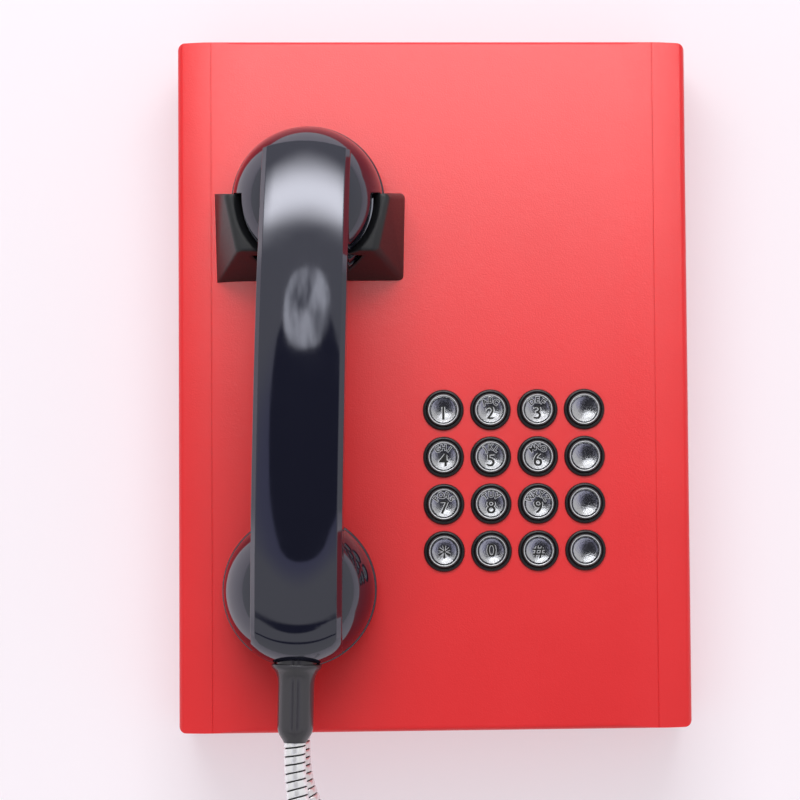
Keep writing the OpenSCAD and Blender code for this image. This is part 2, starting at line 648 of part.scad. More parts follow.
module handle_bar() {
    tip = cup_span / 2 + 30;
    stations = concat([for (k = [0:9]) mid_at - (rim_r + 0.3) * cos(10 * k)],
        [for (k = [1:4]) lerp(mid_at, -foot - 0.8, k / 4)], [for (k = [0:5]) lerp(-foot, 12 - foot, k / 5)],
        [for (k = [1:11]) lerp(12 - foot, foot - 12, k / 12)], [for (k = [0:5]) lerp(foot - 12, foot, k / 5)],
        [for (k = [0:9]) lerp(foot + 0.8, tip, k / 9)]);
    n = len(stations);
    points = [for (u = stations) each handle_section(u)];
    sides = [for (i = [0:n - 2], k = [0:ring - 1]) let(a = ring * i + k, b = ring * i + (k + 1) % ring)
        each [[a, b + ring, b], [a, a + ring, b + ring]]];
    last = ring * (n - 1);
    polyhedron(points, concat([[for (k = [0:ring - 1]) k]], sides, [[for (k = [ring - 1:-1:0]) last + k]]),
        convexity = 4);
}

// What the handset leaves free round its ear cup, so that it passes inside the cradle's lip. In front of the
// cradle the handle keeps its full width.
module lip_room() difference() {
    translate([-cap_r, -ledge_top, -cup_span / 3])
        cube([2 * cap_r, ledge_top - lip_start + 0.5, cup_span / 3 + arm_over]);
    disc(0, 0, lip_start - 1, ledge_top + 1, lip_r - cap_clear);
    translate([-20, -70, -cup_span / 3 - 1]) cube([40, 70 - root_top, cup_span / 3 + arm_over + 2]);
}

// Large-radius cut, with a little draft, that ends the handle's face over the ear cup
module tower_end() translate([0, -15, ear_tip - 50]) rotate([90, 0, 0])
    cylinder(h = 50, r1 = 50 + 25 * 0.1, r2 = 50 - 25 * 0.1, $fn = 128);

// A cup is half a ball that carries a cap: the ball's middle stays hidden inside the handle
module cup() polygon(concat([[0, cup_floor], [cup_bore_r, cup_floor], [cup_bore_r, cap_back + 4],
    [skirt_r, cap_back + 4], [skirt_r, rim_level]],
    [for (k = [0:8]) [rim_r * cos(8.5 * k), rim_level + rim_r * sin(8.5 * k)]],
    [[0, rim_level + rim_r * sin(68)]]));

module handset_handle() color("#1b1c26") hung() difference() {
    union() {
        intersection() {
            handle_bar();
            union() {
                translate([-25, -70, mouth_at]) cube([50, 60, cup_span]);
                tower_end();
                disc(0, mouth_at, rim_level + 0.2, 70, rim_r - 0.1);
            }
        }
        turned(0) cup();
        turned(mouth_at) cup();
    }
    lip_room();
    for (z = [0, mouth_at]) {
        disc(0, z, cap_back + 3, cup_floor, cup_bore_r);
        disc(0, z, cup_floor - 1, channel + channel_r, channel_r);
    }
    translate([0, -channel, mouth_at]) cylinder(h = cup_span, r = channel_r);
    translate([0, -boot_level, mouth_at - 40]) cylinder(h = 40, r = channel_r);
    translate([0, -boot_level, mouth_at - 50]) cylinder(h = 50 - neck_top, r = neck_r + 0.05);
    translate([0, -boot_level, mouth_at - 50]) cylinder(h = 50 - boot_seat, r = boot_flange_d / 2 + 0.1);
}

module cap_profile() polygon([[0, cap_back + 0.8], [12, cap_back + 0.55], [22, cap_back], [27.5, cap_back + 0.3],
    [cap_r - 1.5, cap_back + 1.6], [cap_r - 0.3, cap_back + 3.6], [cap_r, cap_back + 5.5], [cap_r, cap_rim - 0.8],
    [cap_r - 0.6, cap_rim], [cap_wall_r, cap_rim], [cap_wall_r, cap_back + cap_face_t],
    [0, cap_back + cap_face_t]]);

module screw_cap(at_z) difference() {
    turned(at_z) cap_profile();
    disc(0, at_z, cap_back - 1, cap_back + cap_face_t + 1, sound_hole_d / 2);
    for (ring = [1:2], k = [0:6 * ring - 1]) disc(7 * ring * cos(k * 60 / ring), at_z + 7 * ring * sin(k * 60 / ring),
        cap_back - 1, cap_back + cap_face_t + 1, sound_hole_d / 2);
}

module ear_cap() color("#1b1c26") hung() screw_cap(0);
module mouth_cap() color("#1b1c26") hung() screw_cap(mouth_at);

grille_f = cap_back + cap_face_t;
module grille(at_z) disc(0, at_z, grille_f, grille_f + grille_t, grille_r);
module ear_grille() color("#b9bcc0") hung() grille(0);
module mouth_grille() color("#b9bcc0") hung() grille(mouth_at);

module receiver_gasket() color("#303236") hung() difference() {
    disc(0, 0, grille_f + grille_t, grille_f + 2, cup_bore_r - 1);
    disc(0, 0, grille_f, grille_f + 3, cup_bore_r - 7);
}

module receiver_capsule() color("#8f9298") hung() {
    disc(0, 0, grille_f + 2, cup_floor - 4, cup_bore_r - 0.4);
    disc(0, 0, cup_floor - 4 - eps, cup_floor - 0.5, 12);
}

module microphone_holder() color("#303236") hung() difference() {
    disc(0, mouth_at, grille_f + grille_t, cup_floor - 2, cup_bore_r - 0.4);
    disc(0, mouth_at, grille_f, cup_floor, microphone_r + 0.1);
}

module microphone_capsule() color("#8f9298") hung() disc(0, mouth_at, grille_f + grille_t,
    cup_floor - 0.5, microphone_r);

// The lead runs from the boot past the microphone, through the handle and down to the receiver
module handset_lead() color("#8a2a2a") hung() {
    disc(0, 0, cup_floor - 0.5, channel, wire_r);
    translate([0, -channel, mouth_at]) cylinder(h = cup_span, r = wire_r);
    disc(0, mouth_at, cup_floor - 0.5, channel, wire_r);
    translate([0, -boot_level, mouth_at - neck_top]) cylinder(h = neck_top, r = wire_r);
    for (z = [0, mouth_at]) translate([0, -channel, z]) sphere(r = wire_r);
}

module cord_boot() color("#37373a") hung() translate([0, -boot_level, mouth_at]) rotate_extrude() polygon([
    [0, -neck_top], [neck_r, -neck_top], [neck_r, -boot_seat], [boot_flange_d / 2 - 0.5, -boot_seat],
    [boot_flange_d / 2, -boot_seat - 0.5], [boot_flange_d / 2 - 0.2, -boot_seat - 1.3],
    [boot_d / 2 + 1.6, -boot_seat - 2.2], [boot_d / 2 + 0.9, -boot_seat - 3.4], [boot_d / 2 + 0.1, -boot_seat - 4.8],
    [boot_d / 2, -boot_seat - 8], [boot_d / 2, boot_round - boot_reach], [boot_d / 2 - 0.8, 3.4 - boot_reach],
    [boot_d / 2 - 2, 0.8 - boot_reach], [boot_d / 2 - 2.8, -boot_reach], [0, -boot_reach]]);

// ---------------------------------------------------------------- gland and hose
gland_stem_r = 4.8;

module cord_gland() color("#c9ccd0") translate([gland_x, -gland_f, -half_h]) difference() {
    union() {
        translate([0, 0, -gland_t]) cylinder(h = gland_t, r = gland_d / 2);
        cylinder(h = 13, r = gland_stem_r);
    }
    translate([0, 0, 1]) cylinder(h = 13, r = 2.1);
}

module gland_nut() color("#b0b3b8") translate([gland_x, -gland_f, wall - half_h]) difference() {
    cylinder(h = 4, r = 7.6, $fn = 6);
    translate([0, 0, -1]) cylinder(h = 6, r = gland_stem_r + 0.05);
}

module cord_tail() color("#3a3b3f") translate([gland_x, -gland_f, 1 - half_h])
    cylinder(h = connector_z + half_h - 1, r = 2);

module cord_connector() color("#e8e6dd") difference() {
    slab(gland_x - 7, gland_x + 7, board_f1, gland_f + 4, connector_z, connector_z + 10);
    slab(gland_x - 5, gland_x + 5, gland_f + 3, gland_f + 5, connector_z + 6, connector_z + 11);
}

// Route of the hose: from the gland, a hanging loop, up to the boot
hose_lead = 12;                        // straight run at each end
gland_mouth = [gland_x, -gland_f, -half_h - gland_t];
boot_drop = cup_span + boot_reach;
boot_mouth = [ear_x - boot_drop * sin(lean), -body_d - boot_level, ear_z - boot_drop * cos(lean)];
route = concat([gland_mouth, gland_mouth - [0, 0, hose_lead]], [
    [-57, -22, -174], [-50, -22, -188], [-42, -22, -204], [-33, -23, -222], [-24, -25, -242], [-16, -28, -264],
    [-9, -31, -288], [-3, -33, -314], [2, -33, -338], [4, -34.5, -362], [-3, -39.5, -385], [-20.5, -52, -399.5],
    [-42, -67.5, -399.5], [-59, -79.5, -385], [-66, -84.5, -362], [-65, -84, -338], [-63, -83, -314],
    [-60, -82, -290],
    [-58, -80, -264], [-56, -79, -239], [-55, -77, -215], [-55, -75, -193], [-57, -73, -174]],
    [boot_mouth - hose_lead * [sin(lean), 0, cos(lean)], boot_mouth]);

// The smooth centreline: a uniform cubic through mirrored end points
ends = concat([2 * route[0] - route[1]], route, [2 * route[len(route) - 1] - route[len(route) - 2]]);
steps = 8;
function spline(i, t) = (pow(1 - t, 3) * ends[i] + (3 * pow(t, 3) - 6 * t * t + 4) * ends[i + 1]
    + (-3 * pow(t, 3) + 3 * t * t + 3 * t + 1) * ends[i + 2] + pow(t, 3) * ends[i + 3]) / 6;
line = concat([for (i = [0:len(route) - 2], k = [0:steps - 1]) spline(i, k / steps)], [route[len(route) - 1]]);
function run(i, total) = i == len(line) ? [] :
    let(here = total + (i == 0 ? 0 : norm(line[i] - line[i - 1]))) concat([here], run(i + 1, here));
miles = run(0, 0);
hose_length = miles[len(miles) - 1];
function track(axis) = [for (i = [0:len(line) - 1]) [miles[i], line[i][axis]]];
tracks = [for (axis = [0:2]) track(axis)];
function point_at(s) = [for (axis = [0:2]) lookup(s, tracks[axis])];
function unit(v) = v / norm(v);
function heading(s) = s < hose_d ? [0, 0, -1] : s > hose_length - hose_d ? [sin(lean), 0, cos(lean)] :
    unit(point_at(s + 1) - point_at(s - 1));

// A ring of the hose: eight points square to the centreline, turned so that neighbours line up
side_ref = unit([0.6, -0.8, 0.02]);
function ring_at(s, r) = let(along = heading(s), a = unit(cross(along, cross(side_ref, along))), b = cross(along, a),
    c = point_at(s)) [for (k = [0:7]) c + r * (cos(45 * k) * a + sin(45 * k) * b)];

ring_gap = hose_length / (2 * ribs);
outer_rings = 2 * ribs + 1;
bore_rings = 61;

// Gap of the hose to itself: centres more than five diameters apart along it
sample_count = 120;
samples = [for (i = [0:sample_count]) point_at(i * hose_length / sample_count)];
apart = ceil(5 * hose_d * sample_count / hose_length);
least_gap = min([for (i = [0:sample_count - apart], j = [i + apart:sample_count]) norm(samples[i] - samples[j])])
    - hose_d;
echo(hose_length_mm = hose_length, hose_least_gap_mm = least_gap);

module armoured_hose() color("#c8cacd") {
    outer = [for (i = [0:outer_rings - 1])
        each ring_at(i * ring_gap, hose_d / 2 - (i % 2 == 1 ? rib_deep : 0))];
    bore = [for (i = [0:bore_rings - 1]) each ring_at(i * hose_length / (bore_rings - 1), hose_bore / 2)];
    start = 8 * outer_rings;
    last_outer = 8 * (outer_rings - 1);
    last_bore = start + 8 * (bore_rings - 1);
    skin = [for (i = [0:outer_rings - 2], k = [0:7]) let(a = 8 * i + k, b = 8 * i + (k + 1) % 8)
        each [[a, b + 8, b], [a, a + 8, b + 8]]];
    lining = [for (i = [0:bore_rings - 2], k = [0:7]) let(a = start + 8 * i + k, b = start + 8 * i + (k + 1) % 8)
        each [[a, b, b + 8], [a, b + 8, a + 8]]];
    first_face = [for (k = [0:7]) let(m = (k + 1) % 8) each [[k, m, start + m], [k, start + m, start + k]]];
    last_face = [for (k = [0:7]) let(m = (k + 1) % 8)
        each [[last_outer + k, last_bore + m, last_outer + m], [last_outer + k, last_bore + k, last_bore + m]]];
    polyhedron(concat(outer, bore), concat(skin, lining, first_face, last_face), convexity = 8);
}

front_cover();
rear_plate();
line_grommet();
cover_screws();
cover_nuts();
keypad_frame();
key(0, 0);  // key_1
key(0, 1);  // key_2
key(0, 2);  // key_3
key(0, 3);  // key_a
key(1, 0);  // key_4
key(1, 1);  // key_5
key(1, 2);  // key_6
key(1, 3);  // key_b
key(2, 0);  // key_7
key(2, 1);  // key_8
key(2, 2);  // key_9
key(2, 3);  // key_c
key(3, 0);  // key_star
key(3, 1);  // key_0
key(3, 2);  // key_hash
key(3, 3);  // key_d
dome_mat();
keypad_board();
keypad_nuts();
main_board();
board_standoffs();
board_screws();
terminal_block();
ringer();
ribbon_header();
keypad_ribbon();
cradle();
cradle_screws();
hook_bracket();
hook_pin();
hook_lever();
hook_magnet();
hook_spring();
hook_board();
reed_switch();
hook_lead();
handset_handle();
ear_cap();
mouth_cap();
ear_grille();
mouth_grille();
receiver_gasket();
receiver_capsule();
microphone_holder();
microphone_capsule();
handset_lead();
cord_boot();
cord_gland();
gland_nut();
cord_tail();
cord_connector();
armoured_hose();
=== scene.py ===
# %% [markdown]
# # A slimline wall phone
# This lesson dresses a finished CAD model of a wall phone. The CAD model is loaded first and never moves,
# so every piece made here can be placed by the CAD model's own sizes. The order is: camera, hose,
# finishes, then each piece from the housing outwards, and the studio last.

# %% Load the frame
import json
import math
import bpy
from mathutils import Matrix, Vector


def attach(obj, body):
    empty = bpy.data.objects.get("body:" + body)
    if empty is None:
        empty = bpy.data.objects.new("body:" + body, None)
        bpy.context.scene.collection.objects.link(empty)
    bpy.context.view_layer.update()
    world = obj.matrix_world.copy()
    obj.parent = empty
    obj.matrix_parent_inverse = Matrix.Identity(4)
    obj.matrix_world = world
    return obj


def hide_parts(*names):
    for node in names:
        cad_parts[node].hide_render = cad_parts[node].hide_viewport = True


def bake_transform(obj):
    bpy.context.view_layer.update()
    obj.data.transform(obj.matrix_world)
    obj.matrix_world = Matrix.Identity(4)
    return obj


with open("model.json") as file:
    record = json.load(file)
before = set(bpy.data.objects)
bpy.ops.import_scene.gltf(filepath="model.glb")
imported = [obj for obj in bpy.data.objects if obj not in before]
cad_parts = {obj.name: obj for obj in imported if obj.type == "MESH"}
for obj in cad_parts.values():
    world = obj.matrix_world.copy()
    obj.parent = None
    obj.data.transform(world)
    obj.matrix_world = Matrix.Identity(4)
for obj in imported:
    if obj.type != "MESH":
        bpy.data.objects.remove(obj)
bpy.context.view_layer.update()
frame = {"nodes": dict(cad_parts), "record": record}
mm = 0.001

# %% [markdown]
# ## Sizes
# These are the CAD model's own sizes in millimetres. "Level" is the distance in front of the housing's
# flat front. The handset hangs a little out of plumb, so its own upright is turned by `lean` about the
# ear cup. Two small helpers turn such sizes into places, which keeps the later steps short.

# %% Sizes
body_w, body_h, body_d = 218, 294, 46
keypad_x, keypad_z, key_pitch = 33.7, -41.2, 20
cradle_x, cradle_deep = -52.3, 27
ear_x, ear_z, lean, cup_span = -52.5, 76.1, math.radians(1.5), 162.8


def at(x, level, z):
    """A place in front of the housing, in metres."""
    return Vector((x, -body_d - level, z)) * mm


def hung(x, level, z):
    """A place on the hanging handset, in metres, measured from the ear cup's centre."""
    cosine, sine = math.cos(lean), math.sin(lean)
    return at(ear_x + x * cosine + z * sine, level, ear_z - x * sine + z * cosine)


print("mouth cup centre:", tuple(round(c, 4) for c in hung(0, 0, -cup_span)))

# %% [markdown]
# ## Camera
# A wall phone looks best almost straight on. The camera could be aimed at its middle, but then the
# housing's sides would lean. Here a long lens looks on from about a metre away, and the lens is shifted
# sideways, which moves the picture without turning the camera.

# %% Camera
heading, climb, roll = math.radians(2.69), math.radians(2.81), math.radians(-0.54)
forward = Vector((math.sin(heading) * math.cos(climb), math.cos(heading) * math.cos(climb), math.sin(climb)))
level_right = Vector((math.cos(heading), -math.sin(heading), 0))
level_up = level_right.cross(forward)
right = level_right * math.cos(roll) + level_up * math.sin(roll)
upward = right.cross(forward)
camera_data = bpy.data.cameras.new("camera")
camera_data.sensor_width = 36
camera_data.lens = 2533 * 36 / 800
camera_data.shift_x = -0.1875
looked_at, distance = Vector((49.2, -46, -7.2)) * mm, 1.08
camera = bpy.data.objects.new("camera", camera_data)
bpy.context.scene.collection.objects.link(camera)
camera.matrix_world = Matrix.Translation(looked_at - forward * distance) @ Matrix(
    (right, upward, -forward)).transposed().to_4x4()
bpy.context.scene.camera = camera
print("camera at", tuple(round(c, 3) for c in camera.location))

# %% [markdown]
# ## Working helpers
# Blender's edit operators act on whatever is selected. These helpers clear the selection first, and pick
# edges by their place, as a hand would with the mouse. They are used on nearly every piece below.

# %% Working helpers


def work_on(piece):
    if bpy.context.mode != "OBJECT":
        bpy.ops.object.mode_set(mode="OBJECT")
    bpy.ops.object.select_all(action="DESELECT")
    piece.select_set(True)
    bpy.context.view_layer.objects.active = piece


def settle(piece):
    """Leaves a piece at the origin, unturned and unscaled, with its place in its mesh."""
    work_on(piece)
    bpy.ops.object.transform_apply(location=True, rotation=True, scale=True)


def pick_edges(piece, test):
    """Selects the edges whose two ends, a and b, pass the test, and opens edit mode on them."""
    work_on(piece)
    bpy.ops.object.mode_set(mode="EDIT")
    bpy.ops.mesh.select_mode(type="EDGE")
    bpy.ops.mesh.select_all(action="DESELECT")
    bpy.ops.object.mode_set(mode="OBJECT")
    spots = piece.data.vertices
    for edge in piece.data.edges:
        edge.select = test(*(spots[end].co for end in edge.vertices))
    bpy.ops.object.mode_set(mode="EDIT")


def close_edit(piece, angle=35):
    """Leaves edit mode with the faces smooth, and creases sharp above the angle."""
    work_on(piece)
    bpy.ops.object.shade_smooth_by_angle(angle=math.radians(angle))


def finish_mesh(piece, merge=1e-6):
    work_on(piece)
    bpy.ops.object.mode_set(mode="EDIT")
    bpy.ops.mesh.select_all(action="SELECT")
    bpy.ops.mesh.remove_doubles(threshold=merge)
    bpy.ops.mesh.normals_make_consistent(inside=False)
    bpy.ops.object.mode_set(mode="OBJECT")


def bake(piece, name):
    """Applies one modifier."""
    work_on(piece)
    bpy.ops.object.modifier_apply(modifier=name)


print("pieces loaded:", len(frame["nodes"]))

# %% [markdown]
# ## Turned pieces
# Caps, cups, keys and the boot are all round. They could be stacked from cylinders, but then every edge
# would need its own rounding. Here a line of short steps is spun about the axis, as on a lathe, so a
# piece and its rounded edges come out as one closed skin. The line starts as one vertex and is extruded
# from step to step.

# %% Turned pieces


def turned(name, steps, centre, axis, side, segments=64):
    """Spins a line of (radius, height) steps, in millimetres, about an axis through centre."""
    first = steps[0]
    bpy.ops.object.select_all(action="DESELECT")
    bpy.ops.mesh.primitive_plane_add(size=mm, location=centre + (side * first[0] + axis * first[1]) * mm)
    piece = bpy.context.object
    piece.name = piece.data.name = name
    settle(piece)
    bpy.ops.object.mode_set(mode="EDIT")
    bpy.ops.mesh.select_mode(type="VERT")
    bpy.ops.mesh.select_all(action="SELECT")
    bpy.ops.mesh.merge(type="CENTER")
    for here, there in zip(steps, steps[1:]):
        move = (side * (there[0] - here[0]) + axis * (there[1] - here[1])) * mm
        bpy.ops.mesh.extrude_region_move(TRANSFORM_OT_translate={"value": move})
    bpy.ops.mesh.select_all(action="SELECT")
    bpy.ops.mesh.spin(steps=segments, angle=math.tau, center=centre, axis=axis)
    bpy.ops.object.mode_set(mode="OBJECT")
    finish_mesh(piece)
    return piece


def quarter(r_from, r_to, h_from, h_to, count=5, out_first=True):
    """Steps round a quarter of an ellipse between two (radius, height) corners."""
    made = []
    for i in range(count + 1):
        a = math.pi / 2 * i / count
        s, c = (math.sin(a), 1 - math.cos(a)) if out_first else (1 - math.cos(a), math.sin(a))
        made.append((r_from + (r_to - r_from) * s, h_from + (h_to - h_from) * c))
    return made


front = Vector((0, -1, 0))
east = Vector((1, 0, 0))
print("a quarter round:", [tuple(round(c, 2) for c in step) for step in quarter(2, 3, 0, 1)])

# %% [markdown]
# ## The hose's route
# The armoured hose leaves the gland under the housing, hangs in a loop and comes back up into the
# handset's boot. Its route repeats the CAD model's points. A curve object could hold them, but the
# winding in the next step needs a place for every length, so the smooth line is worked out here.

# %% Hose route
gland_mouth = Vector((-59, -22, -149)) * mm
boot_mouth = hung(0, 26, -cup_span - 62.2)
hung_down = hung(0, 0, -1) - hung(0, 0, 0)
middle_points = [
    (-57, -22, -174), (-50, -22, -188), (-42, -22, -204), (-33, -23, -222), (-24, -25, -242),
    (-16, -28, -264), (-9, -31, -288), (-3, -33, -314), (2, -33, -338), (4, -34.5, -362), (-3, -39.5, -385),
    (-20.5, -52, -399.5), (-42, -67.5, -399.5), (-59, -79.5, -385), (-66, -84.5, -362), (-65, -84, -338),
    (-63, -83, -314), (-60, -82, -290), (-58, -80, -264), (-56, -79, -239), (-55, -77, -215),
    (-55, -75, -193), (-57, -73, -174)]
route = [gland_mouth, gland_mouth - Vector((0, 0, 12)) * mm]
route += [Vector(point) * mm for point in middle_points]
route += [boot_mouth + hung_down * 12, boot_mouth]


def smooth_line(points, steps=12):
    """A smooth line that follows the points, with an even bend, from the first to the last."""
    ends = [2 * points[0] - points[1], *points, 2 * points[-1] - points[-2]]
    line = []
    for i in range(len(points) - 1):
        a, b, c, d = ends[i:i + 4]
        for k in range(steps):
            t = k / steps
            line.append(((1 - t) ** 3 * a + (3 * t ** 3 - 6 * t * t + 4) * b
                         + (-3 * t ** 3 + 3 * t * t + 3 * t + 1) * c + t ** 3 * d) / 6)
    return line + [points[-1]]


hose_line = smooth_line(route)
miles = [0]
for here, there in zip(hose_line, hose_line[1:]):
    miles.append(miles[-1] + (there - here).length)
hose_length = miles[-1]
print("hose length:", round(hose_length, 4), "m, lowest point", round(min(p.z for p in hose_line), 4))

# %% [markdown]
# ## The hose
# Armoured hose is one steel strip wound into a screw, each turn hooked over the last. A plain tube with
# painted lines would have a straight outline. So the mesh is wound the same way as the real hose: a strip
# with the turn's profile climbs along the route, and neighbouring turns share their seam. The faces in
# the seam are marked, so that they can be dark: painted shade between the turns.

# %% Hose mesh
hose_r, hose_pitch, around = 4.5 * mm, 3.45 * mm, 24
# Each step across the strip is (share of the turn, height over the hose's surface in millimetres).
strip = [(0.0, -0.6), (0.08, -0.58), (0.10, -0.10), (0.16, 0.0), (0.34, 0.04), (0.56, 0.04), (0.78, 0.0),
         (0.90, -0.06), (0.93, -0.58)]


def place_along(s):
    s = min(max(s, 0), hose_length)
    low, high = 0, len(miles) - 1
    while high - low > 1:
        half = (low + high) // 2
        low, high = (half, high) if miles[half] <= s else (low, half)
    share = (s - miles[low]) / (miles[high] - miles[low])
    return hose_line[low].lerp(hose_line[high], share)


def direction_along(s):
    reach = 0.6 * mm
    return (place_along(s + reach) - place_along(s - reach)).normalized()


def wound_hose(name):
    """Winds the strip along the route. Every column of points is one step of the screw."""
    turns = hose_length / hose_pitch
    columns = math.ceil((turns + 1) * around)
    side_hint = Vector((0.6, -0.8, 0.02)).normalized()
    points, faces, sunk = [], [], []
    count = len(strip)
    for i in range(columns + 1):
        angle = math.tau * i / around
        for share, height in strip:
            s = min(max((i / around - 1 + share) * hose_pitch, 0), hose_length)
            along = direction_along(s)
            a = along.cross(side_hint.cross(along)).normalized()
            b = along.cross(a)
            outward = a * math.cos(angle) + b * math.sin(angle)
            points.append(place_along(s) + outward * (hose_r + height * mm))
    for i in range(columns):
        for k in range(count):
            here, there = count * i + k, count * (i + 1) + k
            if k < count - 1:
                faces.append((here, there, there + 1, here + 1))
            elif i + around < columns:
                seam, next_seam = count * (i + around), count * (i + around + 1)
                faces.append((here, there, next_seam, seam))
            else:
                continue
            # The seam's faces are marked for painted shade.
            sunk.append(k in (0, count - 2, count - 1))
    mesh = bpy.data.meshes.new(name)
    mesh.from_pydata(points, [], faces)
    mesh.attributes.new("seam", "BOOLEAN", "FACE").data.foreach_set("value", sunk)
    piece = bpy.data.objects.new(name, mesh)
    bpy.context.scene.collection.objects.link(piece)
    return piece


hose = wound_hose("hose")
finish_mesh(hose, 2e-6)
close_edit(hose, 50)
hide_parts("armoured_hose")
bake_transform(hose)
print("hose faces:", len(hose.data.polygons))

# %% [markdown]
# ## Finishes
# Each finish is a small set of shader nodes. Painted pictures would do too, but nodes stay sharp at any
# distance and need no files. Patterns read the object's own coordinates in metres, so a grain of one
# millimetre has a scale of about one thousand. These helpers add the same few nodes to each finish.

# %% Finish helpers


def linear(red, green, blue):
    """Turns screen colours from 0 to 255 into the light values that shaders use."""
    made = [c / 255 / 12.92 if c <= 10 else ((c / 255 + 0.055) / 1.055) ** 2.4 for c in (red, green, blue)]
    return (*made, 1)


def set_inputs(node, values):
    for name, value in values.items():
        node.inputs[name].default_value = value


def new_finish(name, colour, roughness, metallic=0.0):
    made = bpy.data.materials.new(name)
    made.use_nodes = True
    shader = made.node_tree.nodes["Principled BSDF"]
    set_inputs(shader, {"Base Color": colour, "Roughness": roughness, "Metallic": metallic})
    return made


def add_noise(made, scale, detail=4, roughness=0.5):
    """Adds a noise to a finish and gives its output."""
    tree = made.node_tree
    where = tree.nodes.new("ShaderNodeTexCoord")
    noise = tree.nodes.new("ShaderNodeTexNoise")
    set_inputs(noise, {"Scale": scale, "Detail": detail, "Roughness": roughness})
    tree.links.new(where.outputs["Object"], noise.inputs["Vector"])
    return noise.outputs["Fac"]


def add_bump(made, source, strength, distance):
    tree = made.node_tree
    shader = tree.nodes["Principled BSDF"]
    bump = tree.nodes.new("ShaderNodeBump")
    set_inputs(bump, {"Strength": strength, "Distance": distance})
    tree.links.new(source, bump.inputs["Height"])
    if shader.inputs["Normal"].links:
        tree.links.new(shader.inputs["Normal"].links[0].from_socket, bump.inputs["Normal"])
    tree.links.new(bump.outputs["Normal"], shader.inputs["Normal"])


def add_range(made, source, socket, low, high, start=0.3, stop=0.7):
    """Drives a shader socket between two values, or two colours, by a pattern."""
    tree = made.node_tree
    ramp = tree.nodes.new("ShaderNodeValToRGB")
    ramp.color_ramp.elements[0].position, ramp.color_ramp.elements[1].position = start, stop
    as_colour = low if isinstance(low, tuple) else (low, low, low, 1)
    to_colour = high if isinstance(high, tuple) else (high, high, high, 1)
    ramp.color_ramp.elements[0].color, ramp.color_ramp.elements[1].color = as_colour, to_colour
    tree.links.new(source, ramp.inputs["Fac"])
    tree.links.new(ramp.outputs["Color"], tree.nodes["Principled BSDF"].inputs[socket])


def vary_shine(made, scale, detail, low, high):
    """Lets one noise vary a finish's roughness between two values."""
    add_range(made, add_noise(made, scale, detail), "Roughness", low, high)


def add_soft_edges(made, radius):
    """Rounds the look of every edge and inner corner, without any more faces."""
    tree = made.node_tree
    soft = tree.nodes.new("ShaderNodeBevel")
    soft.samples = 6
    soft.inputs["Radius"].default_value = radius
    tree.links.new(soft.outputs["Normal"], tree.nodes["Principled BSDF"].inputs["Normal"])


print("a mid grey as light:", round(linear(128, 128, 128)[0], 3))

# %% [markdown]
# ## Powder-coated red
# The housing is steel with a baked powder coat. It has a very fine orange-peel grain, a broad soft shine
# and a slightly uneven colour. A plain red would look like film, so one noise gives the grain, a wider
# one the peel, and a third one clouds the colour.

# %% Powder coat
powder_red = new_finish("powder_red", linear(228, 26, 32), 0.42)
grain = add_noise(powder_red, 1500, 3, 0.6)
peel = add_noise(powder_red, 260, 2)
cloud = add_noise(powder_red, 22, 3)
add_bump(powder_red, grain, 0.6, 0.00012)
add_bump(powder_red, peel, 0.25, 0.00012)
add_range(powder_red, cloud, "Base Color", linear(226, 24, 30), linear(231, 29, 35))
add_range(powder_red, grain, "Roughness", 0.32, 0.41)
print("powder coat nodes:", len(powder_red.node_tree.nodes))

# %% [markdown]
# ## Blacks
# The handset is polished ABS of a very deep blue-black, with a bluish shine. The cradle and the collars
# are the same kind of plastic straight from the mould, so they are duller. The boot is rubber with a
# sheen. One black could serve them all, but the eye tells black things apart by their shine, so each has
# its own.

# %% Handset gloss
handset_gloss = new_finish("handset_gloss", linear(22, 23, 36), 0.1)
handset_shader = handset_gloss.node_tree.nodes["Principled BSDF"]
set_inputs(handset_shader, {"IOR": 1.83, "Specular Tint": (0.88, 0.89, 1, 1)})
add_soft_edges(handset_gloss, 0.0007)
smear = add_noise(handset_gloss, 70, 5, 0.65)
sink = add_noise(handset_gloss, 38, 2)
add_bump(handset_gloss, sink, 0.12, 0.0006)
add_range(handset_gloss, smear, "Roughness", 0.03, 0.1)
print("handset gloss nodes:", len(handset_gloss.node_tree.nodes))

# %% Dull plastic and rubber
cradle_black = new_finish("cradle_black", linear(30, 31, 34), 0.4)
add_soft_edges(cradle_black, 0.002)
tooth = add_noise(cradle_black, 2200, 2)
add_bump(cradle_black, tooth, 0.2, 0.00004)
add_range(cradle_black, tooth, "Roughness", 0.34, 0.5)
collar_black = new_finish("collar_black", linear(20, 20, 23), 0.3)
collar_tooth = add_noise(collar_black, 1800, 2)
add_bump(collar_black, collar_tooth, 0.12, 0.00003)
add_range(collar_black, collar_tooth, "Roughness", 0.24, 0.4)
boot_rubber = new_finish("boot_rubber", linear(60, 58, 63), 0.32)
skin = add_noise(boot_rubber, 1500, 3)
add_bump(boot_rubber, skin, 0.2, 0.00004)
add_range(boot_rubber, skin, "Roughness", 0.17, 0.27)
print("blacks:", [made.name for made in (handset_gloss, cradle_black, collar_black, boot_rubber)])

# %% [markdown]
# ## Metals
# The keys are cast, ground and plated, so the plating shows small dimples. The hose is bright steel, and
# plain zinc covers the fixings and the rear plate. Plain grey metal would look like paint. The noise in
# the bump and in the roughness breaks the mirror up as grinding does.

# %% Key plating
key_chrome = new_finish("key_chrome", (0.62, 0.62, 0.64, 1), 0.14, 1.0)
dimple = add_noise(key_chrome, 1300, 4, 0.6)
wave = add_noise(key_chrome, 260, 2)
add_bump(key_chrome, dimple, 0.5, 0.0001)
add_bump(key_chrome, wave, 0.2, 0.0003)
add_range(key_chrome, dimple, "Roughness", 0.08, 0.24)
print("key plating nodes:", len(key_chrome.node_tree.nodes))

